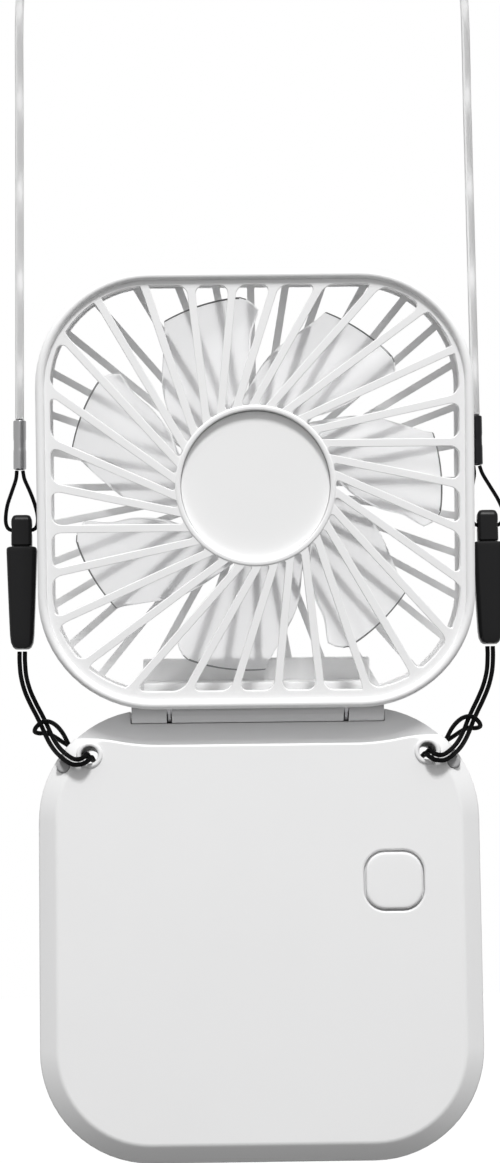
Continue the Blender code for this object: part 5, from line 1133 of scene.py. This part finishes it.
class NECKFAN_OT_base_covers(Operator):
    """Moulds the base's front and rear covers"""

    bl_idname = "neckfan.base_covers"
    bl_label = "Base covers"

    # Growth and depth of the button's window, in millimetres: a rounded mouth
    window_rows = [(0.6, -1.0), (0.6, 0), (0.38, 0.05), (0.18, 0.17), (0.05, 0.35), (0, 0.55),
                   (0, 2.8)]

    def execute(self, context):
        colours = context.scene.neckfan_colours
        # Painted shade: the base's colour is darker than the head's, for the lesser light on the
        # base
        white = moulded_plastic("cover_plastic_painted_shade", colours.base, 0.36)
        self.front(context.scene.neckfan_base, white, colours)
        self.rear(context.scene.neckfan_base, white)
        return {"FINISHED"}

    def front(self, sizes, material, colours):
        seam, wall = sizes.seam_depth, sizes.wall
        wide, deep = sizes.chamfer_width, sizes.chamfer_depth
        ease, tongue, tongue_back = 0.12 * MM, 1.0 * MM, seam + 1.2 * MM
        sections = [(wide + 0.9 * MM, 0), (wide + 0.4 * MM, 0.06 * MM), (wide, 0.28 * MM),
                    (wide - 0.4 * MM, 0.58 * MM), (0.35 * MM, deep - 0.35 * MM),
                    (ease, deep + 0.05 * MM), (0, deep + 0.6 * MM), (0, seam - 0.15 * MM),
                    (ease, seam), (tongue, seam), (tongue, tongue_back), (wall, tongue_back),
                    (wall, deep + wall / 2), (wide + wall / 2, wall)]
        cover = to_object(prism(BASE_SHAPE, sections), "front_cover_moulding")
        inset, low = 0.6 * MM, -sizes.recess_drop - 1.8 * MM
        top = prism(BASE_SHAPE, [(inset, deep + inset), (inset, seam - 0.15 * MM)])
        bmesh.ops.bisect_plane(top, geom=top.verts[:] + top.edges[:] + top.faces[:],
                               plane_co=(0, 0, low), plane_no=(0, 0, -1), clear_outer=True)
        bmesh.ops.holes_fill(top, edges=[e for e in top.edges if e.is_boundary])
        reach = 36.0 * MM
        ledge = box((-reach, 0.9 * MM, low), (reach, deep + 1.2 * MM, low + sizes.recess_drop))
        rise, flare = -0.5 * MM, EYE_FLARE
        collar = [(0, rise), *rim(COLLAR_RADIUS, rise, flare, flare), (COLLAR_RADIUS, seam),
                  (0, seam)]
        join(cover, top, ledge, turned((collar, 48, EYES)))
        mouth, end = EYE_RADIUS + flare, seam + 2.0 * MM
        eye = [(0, -2.0 * MM), (mouth, -2.0 * MM), *rim(EYE_RADIUS, rise, -flare, flare, 3),
               (EYE_RADIUS, end), (0, end)]
        half = sizes.button_size / 2 + sizes.button_gap
        corner = BUTTON_CORNER + sizes.button_gap
        leaf_back, leaf_top, bumper_hole, hole_end = 10.52 * MM, 2.05 * MM, 1.58 * MM, 4.0 * MM
        cut(cover, recess_cutter(sizes.recess_drop, inset),
            fold_cylinder(COVER_RELIEF_RADIUS, FOLD_RELIEF_LENGTH, 0),
            leaf_slot(leaf_back, leaf_top),
            turned((eye, 48, EYES), (peg(bumper_hole, -OVERRUN, hole_end), 32, BUMPERS.values())),
            square_prism(half, corner, self.window_rows, BUTTON_SPOT), port_cutter())
        cover.data.transform(BASE_PLACE)
        dress(cover, material, "base", "base_front_cover", 40)
        # Painted shade: the recess under the head takes a grey in place of the white
        painted_shade = moulded_plastic("recess_painted_shade", colours.recess, 0.42)
        paint_shade_on_faces(cover, painted_shade, BASE_PLACE, self.in_recess)

    def in_recess(self, middle, normal):
        """The recess's floor and the round behind the head's edge, which take the grey that paints
        the shade under the head.
        """
        on_floor = abs(middle.y - RECESS_DEPTH) < 0.02 * MM and normal.y < -0.9
        past_relief = from_axis(middle, 0) - COVER_RELIEF_RADIUS
        return on_floor or -0.1 * MM < past_relief < 0.02 * MM

    def rear(self, sizes, material):
        wall, depth, start = sizes.wall, sizes.depth, sizes.seam_depth + 0.3 * MM
        lip, groove, edge = 0.7 * MM, sizes.seam_depth + 1.5 * MM, 3.0 * MM
        sections = [(3.9 * MM, depth - wall), (wall, 11.7 * MM), (wall, groove), (lip, groove),
                    (lip, start), (0.12 * MM, start), (0, start + 0.15 * MM),
                    *reversed(rim(0, depth, -edge, -edge, 8))]
        cover = to_object(prism(BASE_SHAPE, sections), "rear_cover_moulding")
        floor, end, seat = depth - wall / 2, depth + OVERRUN, 12.5 * MM
        boss, leaf_back, leaf_top = 2.5 * MM, 10.4 * MM, 1.05 * MM
        join(cover, turned((peg(COLLAR_RADIUS, groove, floor), 32, EYES),
                           (peg(boss, start, floor), 24, CASE_SCREWS)))
        mouth, bevel = EYE_RADIUS + 0.6 * MM, SCREW_HEAD_HOLE + 0.25 * MM
        eye = [(0, start - OVERRUN), (EYE_RADIUS, start - OVERRUN), (EYE_RADIUS, depth - 0.6 * MM),
               (EYE_RADIUS + 0.1 * MM, depth - 0.25 * MM), (mouth, depth), (mouth, end), (0, end)]
        tip = 6.0 * MM
        screw = [(0, tip), (SCREW_HOLE, tip), (SCREW_HOLE, seat),
                 (SCREW_HEAD_HOLE, seat), (SCREW_HEAD_HOLE, depth - 0.2 * MM),
                 (bevel, depth + 0.05 * MM), (bevel, end), (0, end)]
        cut(cover, turned((eye, 48, EYES), (screw, 32, CASE_SCREWS)),
            fold_cylinder(COVER_RELIEF_RADIUS, FOLD_RELIEF_LENGTH, 0),
            leaf_slot(leaf_back, leaf_top), port_cutter())
        cover.data.transform(BASE_PLACE)
        dress(cover, material, "base", "base_rear_cover", 40)


class NECKFAN_OT_power_button(Operator):
    """Makes the power button with its crowned face"""

    bl_idname = "neckfan.power_button"
    bl_label = "Power button"

    # Growth and depth of the crown, the side and the flange, in millimetres
    rows = [(-4.5, -0.38), (-2.0, -0.375), (-0.8, -0.36), (-0.4, -0.33), (-0.22, -0.25),
            (-0.08, -0.1), (-0.02, 0.06), (0, 0.25), (0.04, 1.15), (0.34, 1.25), (0.36, 1.4),
            (0.36, 2.3), (1.0, 2.3), (1.0, 3.1)]

    def execute(self, context):
        half = context.scene.neckfan_base.button_size / 2
        button = to_object(square_prism(half, BUTTON_CORNER, self.rows, Matrix()),
                           "power_button_cap")
        stem, stem_front, stem_back = 1.6 * MM, 2.8 * MM, 5.3 * MM
        join(button, turned((peg(stem, stem_front, stem_back), 24, ORIGIN)))
        button.data.transform(BASE_PLACE @ BUTTON_SPOT)
        # Painted shade: the button takes the base's darker white, for the lesser light on the base
        white = moulded_plastic("button_plastic_painted_shade", context.scene.neckfan_colours.base, 0.34)
        dress(button, white, "button", "power_button", 40)
        return {"FINISHED"}


class NECKFAN_OT_bumpers(Operator):
    """Makes the two small rubber bumpers"""

    bl_idname = "neckfan.bumpers"
    bl_label = "Bumpers"

    def execute(self, context):
        rubber = moulded_plastic("bumper_rubber", context.scene.neckfan_colours.rubber, 0.72,
                                 grain=0.2, drift=0.94, depth=0.012)
        radius, front, back, edge = 1.5 * MM, 0.4 * MM, 3.7 * MM, 0.4 * MM
        profile = [(0, 0.45 * MM), (0.85 * MM, 0.42 * MM), (0.95 * MM, front),
                   *rim(radius, front, edge, edge), (radius, back), (0, back)]
        for word, spot in BUMPERS.items():
            bumper = to_object(turned((profile, 40, [spot])), f"bumper_{word}_plug", BASE_PLACE)
            dress(bumper, rubber, "base", f"bumper_{word}", 40)
        return {"FINISHED"}


# Parts that keep their solids


class NECKFAN_OT_inner_parts(Operator):
    """Finishes the motor, hinge, boards, battery, wires and screws"""

    bl_idname = "neckfan.inner_parts"
    bl_label = "Inner parts"

    def execute(self, context):
        colours = context.scene.neckfan_colours
        black = (0.02, 0.02, 0.022)
        finishes = (
            (moulded_plastic("lead_sleeve", colours.base, 0.38), "motor_lead"),
            # Painted shade: the hinge barrel takes the recess grey, for the shade under the head
            (moulded_plastic("hinge_painted_shade", colours.recess, 0.42), "hinge_barrel"),
            (metal("washer_steel", (0.33, 0.33, 0.34), 0.5),
             "friction_washer_left friction_washer_right"),
            (metal("screw_steel", (0.55, 0.55, 0.57), 0.3),
             "head_screw_left head_screw_right hinge_screw_left hinge_screw_right"
             " case_screw_upper_left case_screw_lower_left case_screw_upper_right"
             " case_screw_lower_right control_screw_upper control_screw_lower"
             " charging_screw_left charging_screw_right hinge_pin motor_shaft"),
            (metal("can_steel", (0.6, 0.6, 0.62), 0.3, (1, 8, 1)), "rotor_can usb_socket"),
            (metal("laminated_steel", (0.16, 0.16, 0.17), 0.42, (1, 12, 1)), "stator_core"),
            (metal("turned_brass", (0.72, 0.55, 0.25), 0.3),
             "bearing_tube bearing_front bearing_rear"),
            (circuit_board(), "motor_board control_board charging_board"),
            (wound_wire("enamelled_copper", (0.7, 0.32, 0.15)), "stator_windings"),
            (moulded_plastic("black_moulding", black, 0.4, 0.3, 0.85),
             "usb_tongue tact_switch battery_lead_negative"),
            (moulded_plastic("plunger_rubber", colours.rubber, 0.75), "switch_plunger"),
            (moulded_plastic("wire_sleeve_red", (0.6, 0.05, 0.04), 0.45, 0.3, 0.93),
             "battery_lead_positive fan_lead charging_lead"),
            (moulded_plastic("cell_wrap", (0.42, 0.44, 0.47), 0.32, 0.6, 0.95, 0.02),
             "battery_cell"),
            (moulded_plastic("foam_pad", (0.09, 0.09, 0.09), 0.95, 0.5, 0.8, 0.15),
             "battery_pad"),
            (moulded_plastic("ferrite", (0.07, 0.07, 0.078), 0.6, 0.4, 0.85, 0.02),
             "rotor_magnet"),
        )
        for material, names in finishes:
            for name in names.split():
                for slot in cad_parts[name].material_slots:
                    slot.material = material
        return {"FINISHED"}


# Stage


def seen_directly(tree):
    """1 for camera, glossy and transmission rays, 0 for the light that falls on surfaces."""
    rays = tree.nodes.new("ShaderNodeLightPath").outputs
    either = arithmetic(tree, "MAXIMUM", rays["Is Camera Ray"], rays["Is Glossy Ray"])
    return arithmetic(tree, "MAXIMUM", either, rays["Is Transmission Ray"])


class NECKFAN_OT_stage(Operator):
    """Sets up the camera, the pale floor and the soft light"""

    bl_idname = "neckfan.stage"
    bl_label = "Stage"

    def execute(self, context):
        settings = context.scene.neckfan_stage
        self.camera(context, settings)
        self.world(context, settings)
        self.floor()
        self.key(settings)
        context.scene.view_settings.view_transform = "Standard"
        return {"FINISHED"}

    def camera(self, context, settings):
        target = Vector((-1.45 * MM, -11.7 * MM, -181.834 * MM))
        az, el, roll = settings.azimuth, settings.elevation, settings.roll
        back = Vector((math.sin(az) * math.cos(el), -math.cos(az) * math.cos(el), math.sin(el)))
        right = (-back).cross(Vector((0, 0, 1))).normalized()
        up = right.cross(-back)
        across = right * math.cos(roll) + up * math.sin(roll)
        upward = -right * math.sin(roll) + up * math.cos(roll)
        data = bpy.data.cameras.new("front_camera")
        data.sensor_fit = "VERTICAL"
        data.sensor_height = 36.0
        data.sensor_width = 36.0
        data.lens = settings.lens
        data.clip_start = 10 * MM
        data.dof.use_dof = False
        camera = linked("front_camera", data)
        turn = Matrix((across, upward, back)).transposed().to_4x4()
        camera.matrix_world = Matrix.Translation(target + settings.distance * back) @ turn
        context.scene.camera = camera

    def world(self, context, settings):
        """White to the camera and in reflections, an even light otherwise."""
        world = bpy.data.worlds.new("studio")
        world.use_nodes = True
        tree = world.node_tree
        white = (1, 1, 1, 1)
        backdrop = tree.nodes["Background"]
        connect(tree, backdrop, {"Color": white, "Strength": 1.0})
        soft = {"Color": white, "Strength": settings.ambient}
        mix = node(tree, "MixShader", "Shader", {
            0: seen_directly(tree), 1: node(tree, "Background", "Background", soft),
            2: backdrop.outputs["Background"],
        })
        connect(tree, tree.nodes["World Output"], {"Surface": mix})
        context.scene.world = world

    def floor(self):
        bm = bmesh.new()
        drop, half_size, glow_share = 560.0 * MM, 30.0, 0.93
        place = Matrix.Translation((0, 0, -drop))
        bmesh.ops.create_grid(bm, x_segments=1, y_segments=1, size=half_size, matrix=place)
        floor = raw_object(bm, "floor")
        material, tree, shader = new_material("floor_paint", (0.12, 0.12, 0.12), 0.9)
        connect(tree, shader, {"Specular IOR Level": 0.1})
        strength = arithmetic(tree, "MULTIPLY", seen_directly(tree), glow_share)
        glow = {"Color": (1, 1, 1, 1), "Strength": strength}
        both = node(tree, "AddShader", "Shader", {
            0: shader.outputs["BSDF"], 1: node(tree, "Emission", "Emission", glow),
        })
        connect(tree, tree.nodes["Material Output"], {"Surface": both})
        floor.data.materials.append(material)

    def key(self, settings):
        aim = Vector((0, -12.0 * MM, -212.0 * MM))
        away = Vector((0.05, -0.64, 0.766)).normalized()
        distance, size = 1.5, 0.28
        data = bpy.data.lights.new("key_light", "AREA")
        data.shape = "SQUARE"
        data.size = size
        data.energy = settings.key
        light = linked("key_light", data)
        light.matrix_world = (Matrix.Translation(aim + away * distance)
                              @ away.to_track_quat("Z", "Y").to_matrix().to_4x4())


# Panel and registration


class NECKFAN_PT_panel(Panel):
    """Buttons for every group of pieces"""

    bl_label = "Neck fan"
    bl_idname = "NECKFAN_PT_panel"
    bl_space_type = "VIEW_3D"
    bl_region_type = "UI"
    bl_category = "Neck fan"

    def draw(self, context):
        for step in STEPS:
            self.layout.operator(step.bl_idname)


STEPS = (
    NECKFAN_OT_stage, NECKFAN_OT_cords, NECKFAN_OT_ferrules, NECKFAN_OT_clips,
    NECKFAN_OT_front_grille, NECKFAN_OT_hub_cap, NECKFAN_OT_rear_shell, NECKFAN_OT_impeller,
    NECKFAN_OT_base_covers, NECKFAN_OT_power_button, NECKFAN_OT_bumpers,
    NECKFAN_OT_inner_parts,
)
GROUPS = {
    "neckfan_head": NeckFanHead, "neckfan_base": NeckFanBase,
    "neckfan_lanyard": NeckFanLanyard, "neckfan_colours": NeckFanColours,
    "neckfan_stage": NeckFanStage,
}


def register():
    for cls in (*GROUPS.values(), *STEPS, NECKFAN_PT_panel):
        bpy.utils.register_class(cls)
    for name, group in GROUPS.items():
        setattr(bpy.types.Scene, name, PointerProperty(type=group))


def unregister():
    for name in GROUPS:
        delattr(bpy.types.Scene, name)
    for cls in (NECKFAN_PT_panel, *reversed(STEPS), *reversed(GROUPS.values())):
        bpy.utils.unregister_class(cls)


def main():
    register()
    bpy.ops.neckfan.stage()
    bpy.ops.neckfan.cords()
    bpy.ops.neckfan.ferrules()
    bpy.ops.neckfan.clips()
    bpy.ops.neckfan.front_grille()
    bpy.ops.neckfan.hub_cap()
    bpy.ops.neckfan.rear_shell()
    bpy.ops.neckfan.impeller()
    bpy.ops.neckfan.base_covers()
    bpy.ops.neckfan.power_button()
    bpy.ops.neckfan.bumpers()
    bpy.ops.neckfan.inner_parts()


if __name__ == "__main__":
    main()
